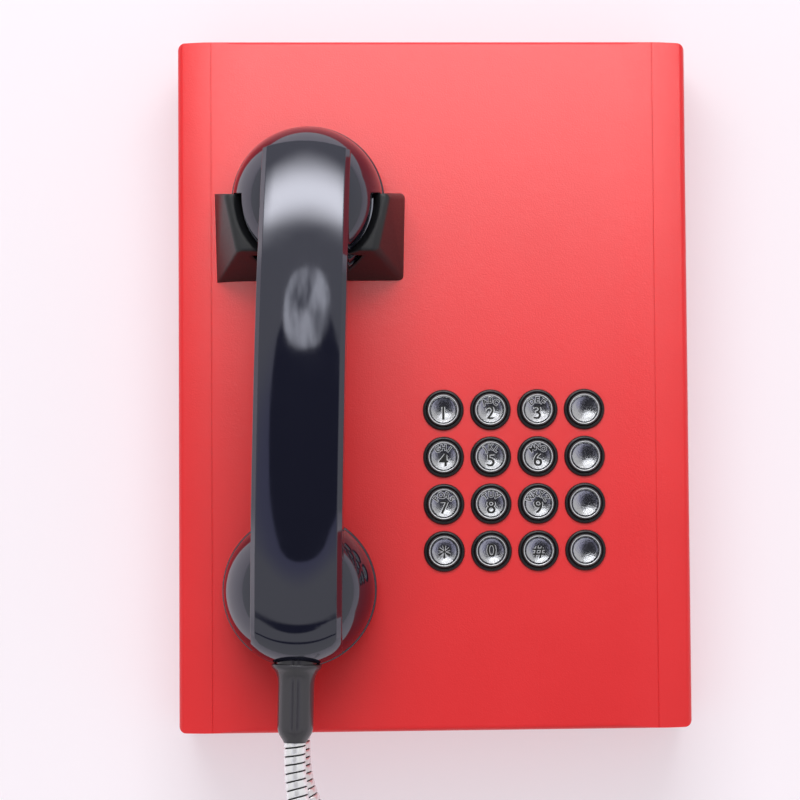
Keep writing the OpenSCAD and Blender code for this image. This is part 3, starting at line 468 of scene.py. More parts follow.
# %% Hose steel and the plain metals
hose_steel = new_finish("hose_steel", (0.93, 0.92, 0.94, 1), 0.2, 0.45)
rub = add_noise(hose_steel, 900, 4)
add_bump(hose_steel, rub, 0.15, 0.00008)
add_range(hose_steel, rub, "Roughness", 0.12, 0.26)
zinc = new_finish("zinc", (0.62, 0.63, 0.65, 1), 0.35, 1.0)
spangle = add_noise(zinc, 320, 5, 0.7)
add_bump(zinc, spangle, 0.15, 0.00008)
add_range(zinc, spangle, "Roughness", 0.26, 0.46)
brass = new_finish("brass", (0.75, 0.58, 0.28, 1), 0.3, 1.0)
vary_shine(brass, 500, 4, 0.22, 0.4)
capsule_metal = new_finish("capsule_metal", (0.6, 0.61, 0.63, 1), 0.38, 1.0)
vary_shine(capsule_metal, 900, 3, 0.3, 0.48)
print("metals:", [made.name for made in (key_chrome, hose_steel, zinc, brass, capsule_metal)])

# %% [markdown]
# ## Inner materials
# Few people will see inside, but each inner piece still gets a finish of its own kind, with one noise for
# its surface. The black of the legends is here too, and it is also the painted shade in the hose's seam.
# So are the key's bright edge, a painted highlight on its rim, and its dark finish, painted shade in its
# groove, on the rim's outer slope and on its skirt.

# %% Inner materials
board_green = new_finish("board_green", linear(24, 84, 48), 0.35)
weave = add_noise(board_green, 240, 4)
add_range(board_green, weave, "Base Color", linear(22, 78, 44), linear(34, 98, 58))
inner_rubber = new_finish("inner_rubber", linear(44, 45, 48), 0.75)
add_bump(inner_rubber, add_noise(inner_rubber, 1800, 2), 0.3, 0.00005)
part_black = new_finish("part_black", linear(34, 34, 37), 0.55)
add_bump(part_black, add_noise(part_black, 1600, 2), 0.25, 0.00004)
terminal_blue = new_finish("terminal_blue", linear(48, 104, 168), 0.45)
vary_shine(terminal_blue, 900, 2, 0.38, 0.55)
connector_white = new_finish("connector_white", linear(228, 226, 216), 0.5)
vary_shine(connector_white, 900, 2, 0.42, 0.58)
lead_grey = new_finish("lead_grey", linear(72, 72, 76), 0.5)
add_bump(lead_grey, add_noise(lead_grey, 1200, 2), 0.2, 0.00005)
reed_glass = new_finish("reed_glass", (0.8, 0.92, 0.9, 1), 0.05)
reed_glass.node_tree.nodes["Principled BSDF"].inputs["Transmission Weight"].default_value = 0.85
vary_shine(reed_glass, 400, 2, 0.02, 0.08)
print("finishes so far:", len(bpy.data.materials))

# %% Legend and key edge
# Black for the legends' print, and painted shade in the hose's seam.
legend_and_shade_black = new_finish("legend_and_shade_black", linear(14, 14, 16), 0.6)
vary_shine(legend_and_shade_black, 2000, 2, 0.5, 0.7)
# The bright edge finish is a painted highlight on the key's rim. It also lies under each legend.
legend_edge = new_finish("legend_edge", (0.78, 0.78, 0.8, 1), 0.4, 0.7)
vary_shine(legend_edge, 1500, 2, 0.34, 0.46)
# Painted shade: the key's dark finish, for its groove, the rim's outer slope and its skirt.
key_painted_shade = new_finish("key_painted_shade", (0.05, 0.05, 0.055, 1), 0.4, 0.6)
vary_shine(key_painted_shade, 900, 2, 0.34, 0.5)
print("legend and edge:", [made.name for made in (legend_and_shade_black, legend_edge, key_painted_shade)])

# %% Finishes on the CAD pieces
slot_finish = {
    "red_paint": powder_red, "cradle_black": cradle_black, "collar_black": collar_black,
    "handset_black": handset_gloss, "key_metal": key_chrome, "steel": zinc, "gland_metal": zinc,
    "hose_steel": hose_steel, "rubber": inner_rubber, "boot_rubber": boot_rubber, "board_green": board_green,
    "brass": brass, "lever_black": part_black, "part_black": part_black, "terminal_blue": terminal_blue,
    "connector_white": connector_white, "lead": lead_grey, "capsule": capsule_metal, "glass": reed_glass,
    "magnet": capsule_metal}


def dress(piece, finish):
    piece.data.materials.clear()
    piece.data.materials.append(finish)


for subpart in frame["record"]["subparts"]:
    dress(frame["nodes"][subpart["node"]], slot_finish[subpart["material_slot"]])
dress(hose, hose_steel)
# The seam's faces take the black finish: painted shade in the seam between the turns.
hose.data.materials.append(legend_and_shade_black)
for face, seam in zip(hose.data.polygons, hose.data.attributes["seam"].data):
    face.material_index = int(seam.value)
print("finishes:", len(bpy.data.materials))

# %% [markdown]
# ## The housing
# The cover is one folded and welded sheet with a pressed groove down each side. It could be folded again
# from a plane, but its shape is already exact in the CAD model, so a copy of that mesh is merged into one
# skin and shaded smooth, with the folds' creases kept. The front's triangles are very long, so their
# shading is told which way the sheet looks: straight out, and turned in the arch at each side.

# %% Housing cover


def merged_copy(node, name, angle):
    """Copies a CAD piece as one smooth skin, with creases above the angle."""
    source = frame["nodes"][node]
    mesh = source.data.copy()
    mesh.name = name
    piece = bpy.data.objects.new(name, mesh)
    bpy.context.scene.collection.objects.link(piece)
    work_on(piece)
    bpy.ops.object.mode_set(mode="EDIT")
    bpy.ops.mesh.select_all(action="SELECT")
    bpy.ops.mesh.remove_doubles(threshold=1e-6)
    bpy.ops.object.mode_set(mode="OBJECT")
    bpy.ops.mesh.customdata_custom_splitnormals_clear()
    bpy.ops.object.shade_smooth_by_angle(angle=math.radians(angle))
    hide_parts(node)
    return piece


cover = merged_copy("front_cover", "housing_cover", 28)
arch_r, arch_inset = 90, 31


def front_normal(x):
    """Which way the cover's front looks at a distance x from its middle."""
    turn = max(0, abs(x) - (body_w / 2 - arch_inset)) / arch_r
    return Vector((math.copysign(turn, x), -math.sqrt(1 - turn * turn), 0))


def looks_forward(face):
    """True for the front with its arches, but not for the rounded edges above and below."""
    return face.normal.y < -0.93 and abs(face.normal.z) < 0.02


normals = [Vector(normal.vector) for normal in cover.data.corner_normals]
for face in cover.data.polygons:
    if looks_forward(face):
        for corner, spot in zip(face.loop_indices, face.vertices):
            normals[corner] = front_normal(cover.data.vertices[spot].co.x / mm)
cover.data.normals_split_custom_set(normals)
dress(cover, powder_red)
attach(cover, "housing")
print("cover faces:", len(cover.data.polygons))

# %% [markdown]
# ## The cradle
# The cradle is one thick moulding that holds the ear cup, narrower in front than at its root. A copy of
# the CAD piece has the exact hollow for the cup, so only its edges are left to do. The outer corners are
# rounded most, and a small bevel on every other edge catches the light as a moulded edge does.

# %% Cradle
cradle = merged_copy("cradle", "cradle_moulding", 30)
work_on(cradle)
bpy.ops.object.mode_set(mode="EDIT")
bpy.ops.mesh.select_all(action="SELECT")
bpy.ops.mesh.dissolve_limited(angle_limit=math.radians(0.5))
bpy.ops.object.mode_set(mode="OBJECT")
# The block's corners as (half width, height), the lower one first, at its root and at its front.
root_corners, front_corners = ((39.1, 44.2), (40.3, 81.6)), ((29, 54.4), (34, 78))
corners = {}
for side in (-1, 1):
    for proud, pair in enumerate((root_corners, front_corners)):
        for top, (x, z) in enumerate(pair):
            corners[side, top, proud] = at(cradle_x + side * x, cradle_deep * proud, z)


def which_corner(point):
    """The block's corner at a point, as (side, top, proud), or None."""
    return next((key for key, place in corners.items() if (point - place).length < 0.4 * mm), None)


def outer_edge(a, b):
    """True for an edge between two neighbouring corners, unless both are at the root."""
    a, b = which_corner(a), which_corner(b)
    return bool(a and b and (a[2] or b[2]) and sum(one != other for one, other in zip(a, b)) == 1)


pick_edges(cradle, outer_edge)
print("cradle edges to round:", sum(edge.select for edge in cradle.data.edges))
bpy.ops.mesh.bevel(offset=2 * mm, segments=5, affect="EDGES", clamp_overlap=False)
bpy.ops.object.mode_set(mode="OBJECT")
soft = cradle.modifiers.new("soft", "BEVEL")
soft.width, soft.segments, soft.limit_method, soft.angle_limit = 0.5 * mm, 3, "ANGLE", math.radians(32)
bake(cradle, "soft")
close_edit(cradle, 30)
dress(cradle, cradle_black)
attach(cradle, "housing")
print("cradle faces:", len(cradle.data.polygons))

# %% [markdown]
# ## Collars
# Sixteen black rings stand out of the cover, all part of one frame behind it. They could be cut out of
# one thick plate, but a turned ring gets its rounded lip in one go. One ring is turned and copied to each
# place, each copy with its own mesh. The frame's plate is a flat box with softened edges.

# %% Collars


def key_place(row, column):
    return keypad_x + (column - 1.5) * key_pitch, keypad_z + (1.5 - row) * key_pitch


def copy_to(piece, shift, name):
    mesh = piece.data.copy()
    mesh.transform(Matrix.Translation(shift))
    other = bpy.data.objects.new(name, mesh)
    bpy.context.scene.collection.objects.link(other)
    return other


def join_all(parts, name):
    work_on(parts[0])
    for part in parts:
        part.select_set(True)
    if len(parts) > 1:
        bpy.ops.object.join()
    whole = bpy.context.object
    whole.name = whole.data.name = name
    return whole


start_x, start_z = key_place(0, 0)
ring_steps = [(7.15, -4.6), *quarter(7.15, 7.6, 0.9, 1.4, 4, False), *quarter(7.75, 8.6, 1.4, 0.55, 6),
              (8.6, -4.6), (7.15, -4.6)]
ring = turned("ring", ring_steps, at(start_x, 0, start_z), front, east, 64)
close_edit(ring, 40)
rings = [ring]
for row in range(4):
    for column in range(4):
        if row or column:
            x, z = key_place(row, column)
            rings.append(copy_to(ring, at(x, 0, z) - at(start_x, 0, start_z), "ring"))
print("rings made:", len(rings))

# %% Collar plate
bpy.ops.object.select_all(action="DESELECT")
bpy.ops.mesh.primitive_cube_add(size=1, location=at(keypad_x, -3.1, keypad_z))
plate = bpy.context.object
plate.scale = (88 * mm, 3 * mm, 88 * mm)
settle(plate)
bpy.ops.object.mode_set(mode="EDIT")
bpy.ops.mesh.select_all(action="SELECT")
bpy.ops.mesh.bevel(offset=0.4 * mm, segments=2, affect="EDGES")
bpy.ops.object.mode_set(mode="OBJECT")
collars = join_all([plate, *rings], "keypad_collars")
dress(collars, collar_black)
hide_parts("keypad_frame")
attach(collars, "housing")
print("collar faces:", len(collars.data.polygons))

# %% [markdown]
# ## Keys
# A key is a plated plunger with a raised rim and a dished face. The digit stands low on the face, and its
# letters follow the rim above it. Real legends are cut in and filled. Cutting them would take dozens of
# booleans, so each character is a black stroke on a slightly wider bright one, which looks the same.

# %% Keys
legends = [["1", "2", "3", ""], ["4", "5", "6", ""], ["7", "8", "9", ""], ["*", "0", "#", ""]]
letters = {"2": "ABC", "3": "DEF", "4": "GHI", "5": "JKL", "6": "MNO", "7": "PQRS", "8": "TUV", "9": "WXYZ"}
key_names = [["key_1", "key_2", "key_3", "key_a"], ["key_4", "key_5", "key_6", "key_b"],
             ["key_7", "key_8", "key_9", "key_c"], ["key_star", "key_0", "key_hash", "key_d"]]
face_middle, dish_r = 1.5, 22
groove_in, groove_out, edge_out = 5.7, 5.93, 6.42
letter_r, letter_step, letter_size = 3.9, 37, 3.3
# Each digit's height on the face and its size. The others stand at the usual place.
digit_places = {"*": (-2.8, 13), "#": (-0.2, 8.6), "0": (0, 8.4)}
usual_place = (-1.6, 8.4)
# Each stroke's finish, how far it stands proud of the dish and how much thicker it is.
strokes = ((legend_edge, 0.16, 0.3), (legend_and_shade_black, 0.19, 0.07))


def key_face(r):
    """Level of a key's dished face at a distance from its middle."""
    return face_middle + r * r / (2 * dish_r)


key_steps = [(0, face_middle), *((r, key_face(r)) for r in (1, 2, 3, 4, 5, groove_in))]
key_steps += [(5.76, key_face(5.6)), (5.9, key_face(5.6)), *quarter(5.95, 6.15, key_face(5.9), 2.6, 4)]
key_steps += [*quarter(6.35, 7.0, 2.6, 1.8, 6), (7.0, -2), (7.9, -2), (7.9, -3), (0, -3)]
print("dish depth:", round(key_face(groove_in) - face_middle, 2), "mm")

# %% Legend stamp


def stamp(text, x, z, spot, size, turn, proud, thicker):
    """One character on the key at x, z, flat against the dish at its own middle and a little proud of it."""
    bpy.ops.object.select_all(action="DESELECT")
    bpy.ops.object.text_add(location=at(x + spot[0], 0, z + spot[1]), rotation=(math.pi / 2, turn, 0))
    piece = bpy.context.object
    piece.data.body = text
    piece.data.size = size * mm
    piece.data.align_x, piece.data.align_y = "CENTER", "CENTER"
    piece.data.resolution_u = 3
    piece.data.offset = thicker * mm
    piece.data.extrude = 0.1 * mm
    bpy.ops.object.convert(target="MESH")
    settle(piece)
    places = [(vertex.co.x / mm - x, vertex.co.z / mm - z) for vertex in piece.data.vertices]
    middle = [(min(side) + max(side)) / 2 for side in zip(*places)]
    for vertex, place in zip(piece.data.vertices, places):
        rise = sum((here - there) * there for here, there in zip(place, middle)) / dish_r
        vertex.co.y -= (key_face(math.hypot(*middle)) + rise + proud - 0.1) * mm
    return piece


print("letters on the keys:", sum(len(group) for group in letters.values()))

# %% Sixteen keys
plain_key = turned("plain_key", key_steps, at(start_x, 0, start_z), front, east, 72)
close_edit(plain_key, 40)
for row in range(4):
    for column in range(4):
        x, z = key_place(row, column)
        digit = legends[row][column]
        name = key_names[row][column]
        key = copy_to(plain_key, at(x, 0, z) - at(start_x, 0, start_z), name + "_cap")
        dress(key, key_chrome)
        key.data.materials.append(key_painted_shade)
        key.data.materials.append(legend_edge)
        # Painted light: the rim's top takes the bright finish as a painted highlight, and the groove, the
        # rim's outer slope and the skirt take the dark one as painted shade.
        for face in key.data.polygons:
            r = math.hypot(face.center.x / mm - x, face.center.z / mm - z)
            dark = r > edge_out or groove_in < r < groove_out
            face.material_index = 1 if dark else 2 if r > groove_out else 0
        marks = []
        if digit:
            low, size = digit_places.get(digit, usual_place)
            words = [(digit, (0, low), size, 0)]
            for i, letter in enumerate(letters.get(digit, "")):
                turn = math.radians((i - (len(letters[digit]) - 1) / 2) * letter_step)
                spot = (letter_r * math.sin(turn), letter_r * math.cos(turn))
                words.append((letter, spot, letter_size, turn))
            for text, spot, size, turn in words:
                for finish, proud, thicker in strokes:
                    marks.append(stamp(text, x, z, spot, size, turn, proud, thicker))
                    dress(marks[-1], finish)
        key = join_all([key, *marks], name + "_cap")
        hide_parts(name)
        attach(key, name)
bpy.data.objects.remove(plain_key)
print("keys made:", sum(len(line) for line in key_names))

# %% [markdown]
# ## The handset's handle
# The handle is an arched bar with chamfered front edges. Its upper end finishes in a low wall that
# follows the round cup under it, and its lower end rolls over into the mouth cup. A bent box could not
# have both ends. So a long box is cut into slices, its edges are bevelled while it is still straight, and
# then every vertex is moved to its place on the arched form.

# %% Handle form
crown, grip, cap_r, rim_r, rim_level = 58, 21, 32.2, 31.5, 14.8
roll_start, roll_power, foot = 18, 3.2, cup_span / 2 - 25.2
top_half, foot_half, flare, box_half = 16.3, 16.8, 1.75, 18.2
mid = -cup_span / 2


def arch_level(u, x):
    """Level of the arched face at a distance u from its middle and x from its centre line.

    It falls as a shallow arch up to 66 mm, and more steeply beyond."""
    far = min(max((abs(u) - 45) / 35, 0), 1)
    a = abs(u) + far * far * (3 - 2 * far) * x * x / 105
    m, v = min(a, 66), max(0, a - 66)
    return crown - m * m / 800 - v * 66 / 400 - v * v / 220 - x * x / 180


def rolled(q):
    """How much of the roll's height is left at a distance q past the mouth cup's middle, from 1 down to 0."""
    return max(0, 1 - (max(0, q) / rim_r) ** roll_power) ** (1 / roll_power)


def past_mouth(u, x):
    """Distance below the mouth cup's middle, measured so that the cup's rim is at rim_r for every x."""
    return -u - cup_span / 2 + rim_r - math.sqrt(rim_r * rim_r - x * x)


def front_level(u, x):
    """Level of the handle's front. The lower end blends into the roll."""
    q = past_mouth(u, x)
    t = min(max((q - roll_start + 4) / 8, 0), 1)
    roll = rim_level + rolled(q) / rolled(roll_start) * (arch_level(cup_span / 2 + roll_start, 0) - rim_level)
    return arch_level(u, x) + t * t * (3 - 2 * t) * (roll - arch_level(u, x))


def back_level(u, x):
    """Level of the handle's back: a shallow arch with a rounded root at each cup."""
    a, r = abs(u), 12
    v = min(r, max(0, a - (foot - r)))
    level = crown - grip - a * a / 1200 - r + math.sqrt(r * r - v * v)
    root = level if a <= foot else max(19.7, level - (a - foot) * 4)
    t = min(max((past_mouth(u, x) - 27.5) / 3.5, 0), 1)
    return root + t * t * (3 - 2 * t) * (14.9 - root)


def end_reach(x, level, ear):
    """How far the end stands from the middle of the handle."""
    if not ear:
        return cup_span / 2 + math.sqrt((rim_r - 0.1) ** 2 - x * x)
    radius = 50 + (40 - level) * 0.1
    return cup_span / 2 + 22.3 - 50 + math.sqrt(radius * radius - x * x)


def shape_handle(point):
    """Moves a point of the plain box onto the handle. Slices crowd together towards the rolled end."""
    across, depth, along = point.x / mm, point.y / mm, point.z / mm / 100
    x = across * (0.5 * (top_half + foot_half) + along * (top_half - foot_half) / 2 + flare) / box_half
    share = (depth + grip / 2) / grip
    level, u = 45, 0
    for _ in range(4):
        u = end_reach(x, level, along > 0) * (along if along > 0 else math.sin(math.pi / 2 * along))
        low, high = back_level(u, x), front_level(u, x)
        level = high - (high - low) * share
    x *= 1 + 0.012 * share
    return hung(x, level, mid + u)


print("handle's level at its middle and at the cups:", crown, round(arch_level(cup_span / 2, 0), 1))

# %% Handle box
bpy.ops.object.select_all(action="DESELECT")
bpy.ops.mesh.primitive_cube_add(size=1, location=(0, 0, 0))
handle = bpy.context.object
handle.name = handle.data.name = "handset_body"
handle.scale = (2 * box_half * mm, grip * mm, 200 * mm)
settle(handle)
half_w, half_t, half_l, near = box_half * mm, grip / 2 * mm, 0.1, 1e-6
strip_w, cuts_along = 2.4, 191


def cut_across(piece, x):
    """Cuts a piece along a flat plane that faces sideways."""
    work_on(piece)
    bpy.ops.object.mode_set(mode="EDIT")
    bpy.ops.mesh.select_all(action="SELECT")
    bpy.ops.mesh.bisect(plane_co=(x, 0, 0), plane_no=(1, 0, 0))
    bpy.ops.object.mode_set(mode="OBJECT")


for i in range(-6, 7):
    cut_across(handle, i * strip_w * mm)
pick_edges(handle, lambda a, b: abs(a.z - b.z) > half_l)
bpy.ops.mesh.subdivide(number_cuts=cuts_along)
pick_edges(handle, lambda a, b: abs(abs(a.x) - half_w) < near and abs(a.y + half_t) < near
           and abs(a.x - b.x) < near and abs(b.y + half_t) < near)
bpy.ops.mesh.bevel(offset=1.9 * mm, segments=1, affect="EDGES")
pick_edges(handle, lambda a, b: a.y > half_t - near and b.y > half_t - near and abs(abs(a.x) - half_w) < near
           and abs(a.x - b.x) < near)
bpy.ops.mesh.bevel(offset=3.4 * mm, segments=5, affect="EDGES")
bpy.ops.object.mode_set(mode="OBJECT")
print("handle slices made:", len(handle.data.vertices))

# %% Handle shape
for vertex in handle.data.vertices:
    vertex.co = shape_handle(vertex.co)
finish_mesh(handle)
print("handle spans", [round(c, 4) for c in (min(v.co.z for v in handle.data.vertices),
                                            max(v.co.z for v in handle.data.vertices))])

# %% [markdown]
# ## The cups
# Each end of the handset is half a ball that carries a screw cap. The cups could be left as pieces of
# their own, but the real body is one moulding, so they are joined to the handle by a union. The ear cup
# has room cut out of its sides for the cradle's lip. That room ends just above the lip's tips and slopes
# like them, so it stays out of sight.

# %% Cups
lean_axis = Matrix.Rotation(lean, 3, "Y")
hung_east = lean_axis @ east
cup_steps = [(0, 19.5), (27, 19.5), (27, 8), (29.5, 8), (29.5, rim_level), (31.3, rim_level)]
for angle in map(math.radians, range(1, 69, 2)):
    cup_steps.append((rim_r * math.cos(angle), rim_level + rim_r * math.sin(angle)))
cup_steps.append((0, cup_steps[-1][1]))
print("cup steps:", len(cup_steps))

# %% Handset body


def cut_by(piece, cutter, operation="DIFFERENCE"):
    """Cuts a piece by another one, or joins the two, and removes the other one."""
    change = piece.modifiers.new("cut", "BOOLEAN")
    change.operation, change.solver, change.object = operation, "EXACT", cutter
    bake(piece, "cut")
    bpy.data.objects.remove(cutter)


def lip_room(top):
    """The room for the cradle's lip: a ring round the ear cup, cut off above the lip's tips."""
    inner, outer, low, tip_z, tip_slope = 26.6, 45, 22.1, 78.25, 0.133
    ring_steps = [(inner, low), (outer, low), (outer, top), (inner, top), (inner, low)]
    ring = turned("lip_room", ring_steps, hung(0, 0, 0), front, hung_east, 128)
    bpy.ops.object.mode_set(mode="EDIT")
    bpy.ops.mesh.select_all(action="SELECT")
    bpy.ops.mesh.bisect(plane_co=at(0, cradle_deep, tip_z), plane_no=(0, -tip_slope, 1), use_fill=True,
                        clear_outer=True)
    bpy.ops.object.mode_set(mode="OBJECT")
    finish_mesh(ring)
    return ring


cut_by(handle, lip_room(27.5))
for name, z in (("ear_cup", 0), ("mouth_cup", -cup_span)):
    cup = turned(name, cup_steps, hung(0, 0, z), front, hung_east, 128)
    if name == "ear_cup":
        cut_by(cup, lip_room(crown))
    cut_by(handle, cup, "UNION")
finish_mesh(handle, 2e-6)
close_edit(handle, 30)
dress(handle, handset_gloss)
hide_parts("handset_handle")
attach(handle, "handset")
print("handset body faces:", len(handle.data.polygons))

# %% [markdown]
# ## Screw caps
# The caps close the cups over the receiver and the microphone. Each has a rounded edge, a straight rim
# for grip and nineteen sound holes. The holes could be painted dots, but real ones show their depth from
# the side, so they are drilled by one cutter made of nineteen small rods.

# %% Screw caps
cap_steps = [(0, 4.8), (12, 4.55), (22, 4.0), (27.5, 4.3), (29.6, 4.9), (30.9, 5.9), (31.7, 7.2), (32.1, 8.6),
             (cap_r, 9.5), (cap_r, 13.7), (32.05, 14.25), (31.6, 14.6), (29.55, 14.6), (29.55, 7), (0, 7)]


def sound_holes(z):
    """One hole in the middle and two rings of holes, as a single cutter."""
    holes = []
    for ring, count in ((0, 1), (7, 6), (14, 12)):
        for i in range(count):
            a = math.tau * i / count
            place = hung(ring * math.cos(a), 5.5, z + ring * math.sin(a))
            bpy.ops.object.select_all(action="DESELECT")
            bpy.ops.mesh.primitive_cylinder_add(vertices=24, radius=1.2 * mm, depth=8 * mm, location=place,
                                                rotation=(math.pi / 2, 0, 0))
            settle(bpy.context.object)
            holes.append(bpy.context.object)
    return join_all(holes, "sound_holes")


for name, node, z in (("ear_screw_cap", "ear_cap", 0), ("mouth_screw_cap", "mouth_cap", -cup_span)):
    cap = turned(name, cap_steps, hung(0, 0, z), front, hung_east, 128)
    cut_by(cap, sound_holes(z))
    close_edit(cap, 35)
    dress(cap, handset_gloss)
    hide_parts(node)
    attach(cap, "handset")
print("cap faces:", len(cap.data.polygons))

# %% [markdown]
# ## The boot and the gland
# The rubber boot has a flange against the mouth cup and rounds in to the hose, and a fine moulding seam
# runs down its front. At the housing the hose ends in a flanged gland. Both are round, so both are
# turned. The seam is one line of the boot's vertices, pushed in a little.

# %% Boot
boot_steps = [(0, -21.5), (8.5, -21.5), (8.5, -29.8), (9.9, -30.0), (10.25, -30.15), (10.4, -30.5),
              (10.35, -31.0), (10.0, -31.7), (9.3, -32.4), (8.6, -33.3), (8.0, -34.5), (7.6, -36.0),
              (7.42, -38), (7.4, -41), (7.4, -55.2), (7.3, -56.6), (7.0, -57.8), (6.5, -59.0), (5.8, -60.2),
              (5.1, -61.2), (4.75, -61.9), (4.7, -62.2), (0, -62.2)]
boot_top, seam_deep = hung(0, 26, -cup_span), 0.4 * mm
boot = turned("boot", boot_steps, boot_top, -hung_down * 1000, hung_east, 64)
for vertex in boot.data.vertices:
    out = vertex.co - boot_top
    out -= hung_down * (out.dot(hung_down) / hung_down.length_squared)
    if out.length > 6.0 * mm and abs(out.x) < 0.2 * mm and out.y < 0:
        vertex.co.y += seam_deep
close_edit(boot, 40)
dress(boot, boot_rubber)
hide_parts("cord_boot")
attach(boot, "handset")
print("boot faces:", len(boot.data.polygons))

# %% Gland
gland_steps = [(2.1, 13), (4.8, 13), (4.8, 0.02), (5.9, 0.0), (6.2, -0.3), (6.2, -1.6), (5.9, -2.0),
               (0, -2.0), (0, 1), (2.1, 1), (2.1, 13)]
gland = turned("gland", gland_steps, Vector((-59, -22, -147)) * mm, Vector((0, 0, 1)), east, 64)
close_edit(gland, 35)
dress(gland, zinc)
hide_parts("cord_gland")
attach(gland, "housing")
print("gland faces:", len(gland.data.polygons))

# %% [markdown]
# ## The wall
# A pale wall stands behind the phone. A curved studio floor would do, but a flat wall is where the phone
# belongs. It glows a little, and more towards the floor: painted light on the wall. From behind it is
# clear, so the rear plate can be looked at.

# %% Wall
stage = bpy.data.materials.new("backdrop")
stage.use_nodes = True
tree = stage.node_tree
tree.nodes.remove(tree.nodes["Principled BSDF"])
paint = tree.nodes.new("ShaderNodeBsdfDiffuse")
paint.inputs["Color"].default_value = (0.6, 0.55, 0.59, 1)
# Painted light: the wall's own glow, made stronger towards the floor by its height.
glow = tree.nodes.new("ShaderNodeEmission")
glow.inputs["Color"].default_value = linear(250, 245, 252)
height = tree.nodes.new("ShaderNodeMapRange")
set_inputs(height, {"From Min": -0.4, "From Max": 0.15, "To Min": 0.5, "To Max": 0.33})
where, split = tree.nodes.new("ShaderNodeTexCoord"), tree.nodes.new("ShaderNodeSeparateXYZ")
tree.links.new(where.outputs["Object"], split.inputs["Vector"])
tree.links.new(split.outputs["Z"], height.inputs["Value"])
tree.links.new(height.outputs["Result"], glow.inputs["Strength"])
both = tree.nodes.new("ShaderNodeAddShader")
clear = tree.nodes.new("ShaderNodeBsdfTransparent")
facing = tree.nodes.new("ShaderNodeNewGeometry")
choose = tree.nodes.new("ShaderNodeMixShader")
tree.links.new(paint.outputs["BSDF"], both.inputs[0])
tree.links.new(glow.outputs["Emission"], both.inputs[1])
tree.links.new(facing.outputs["Backfacing"], choose.inputs["Fac"])
tree.links.new(both.outputs["Shader"], choose.inputs[1])
tree.links.new(clear.outputs["BSDF"], choose.inputs[2])
tree.links.new(choose.outputs["Shader"], tree.nodes["Material Output"].inputs["Surface"])
bpy.ops.object.select_all(action="DESELECT")
bpy.ops.mesh.primitive_plane_add(size=3, location=(0, 0.0012, 0), rotation=(math.pi / 2, 0, 0))
wall = bpy.context.object
wall.name = "wall_behind"
settle(wall)
dress(wall, stage)
print("wall faces", tuple(round(c, 2) for c in wall.data.polygons[0].normal))

# %% Room
world = bpy.data.worlds.new("room")
bpy.context.scene.world = world
world.use_nodes = True
room_light = world.node_tree.nodes["Background"]
set_inputs(room_light, {"Color": (1, 1, 1, 1), "Strength": 0.62})
print("room brightness:", round(room_light.inputs["Strength"].default_value, 2))

# %% [markdown]
# ## Soft cards
# A studio's lamps and flags are cards here. Area lamps could light the phone, but their hard outlines
# would show in the polished handset. Each card shines with one plain colour and fades out over its edge,
# either as a rounded oval or along its two sides. The camera can't see the cards, and they throw no
# shadow.

# %% Soft cards


def maths(tree, operation, *inputs):
    """A maths node. Each input is a number or another node's output. Gives the node's output."""
    node = tree.nodes.new("ShaderNodeMath")
    node.operation = operation
    for socket, value in zip(node.inputs, inputs):
        if isinstance(value, (int, float)):
            socket.default_value = value
        else:
            tree.links.new(value, socket)
    return node.outputs["Value"]


def soft_card(name, place, size, colour, strength, edge, oval, aim=Vector((-0.05, -0.08, 0))):
    """A card that faces the point aim. Edge is the share that fades. Oval is its outline's power, or 0."""
    made = bpy.data.materials.new(name)
    made.use_nodes = True
    tree = made.node_tree
    tree.nodes.remove(tree.nodes["Principled BSDF"])
    where = tree.nodes.new("ShaderNodeTexCoord")
    share = tree.nodes.new("ShaderNodeVectorMath")
    share.operation = "DIVIDE"
    share.inputs[1].default_value = (size[0] / 2, size[1] / 2, 1)
    tree.links.new(where.outputs["Object"], share.inputs[0])
    split = tree.nodes.new("ShaderNodeSeparateXYZ")
    tree.links.new(share.outputs["Vector"], split.inputs["Vector"])
    sides = [maths(tree, "ABSOLUTE", split.outputs[axis]) for axis in "XY"]
    if oval:
        total = maths(tree, "ADD", *[maths(tree, "POWER", side, oval) for side in sides])
        parts = [(maths(tree, "POWER", total, 1 / oval), edge)]
    else:
        parts = zip(sides, edge)
    shown = 1
    for reach, soft in parts:
        fade = tree.nodes.new("ShaderNodeMapRange")
        fade.interpolation_type = "SMOOTHSTEP"
        set_inputs(fade, {"From Min": 1 - soft, "From Max": 1, "To Min": 1, "To Max": 0})
        tree.links.new(reach, fade.inputs["Value"])
        shown = maths(tree, "MULTIPLY", fade.outputs["Result"], shown)
    shine = tree.nodes.new("ShaderNodeEmission")
    set_inputs(shine, {"Color": colour, "Strength": strength})
    clear = tree.nodes.new("ShaderNodeBsdfTransparent")
    blend = tree.nodes.new("ShaderNodeMixShader")
    tree.links.new(shown, blend.inputs["Fac"])
    tree.links.new(clear.outputs["BSDF"], blend.inputs[1])
    tree.links.new(shine.outputs["Emission"], blend.inputs[2])
    tree.links.new(blend.outputs["Shader"], tree.nodes["Material Output"].inputs["Surface"])
    bpy.ops.object.select_all(action="DESELECT")
    bpy.ops.mesh.primitive_plane_add(size=1)
    card = bpy.context.object
    card.name = name
    card.scale = (size[0], size[1], 1)
    bpy.ops.object.transform_apply(scale=True)
    card.location = place
    card.rotation_euler = (aim - place).to_track_quat("Z", "Y").to_euler()
    dress(card, made)
    card.visible_camera = card.visible_shadow = False
    return card


print("finishes before the studio:", len(bpy.data.materials))

# %% [markdown]
# ## The studio
# One large softbox above and in front gives the light and the bright band on the polished handset. The
# other cards are there for reflections only, so they stay out of the diffuse light: a dim front, a dark
# oval at the camera's distance, a patchy glint over it, and a dark gap above the floor.

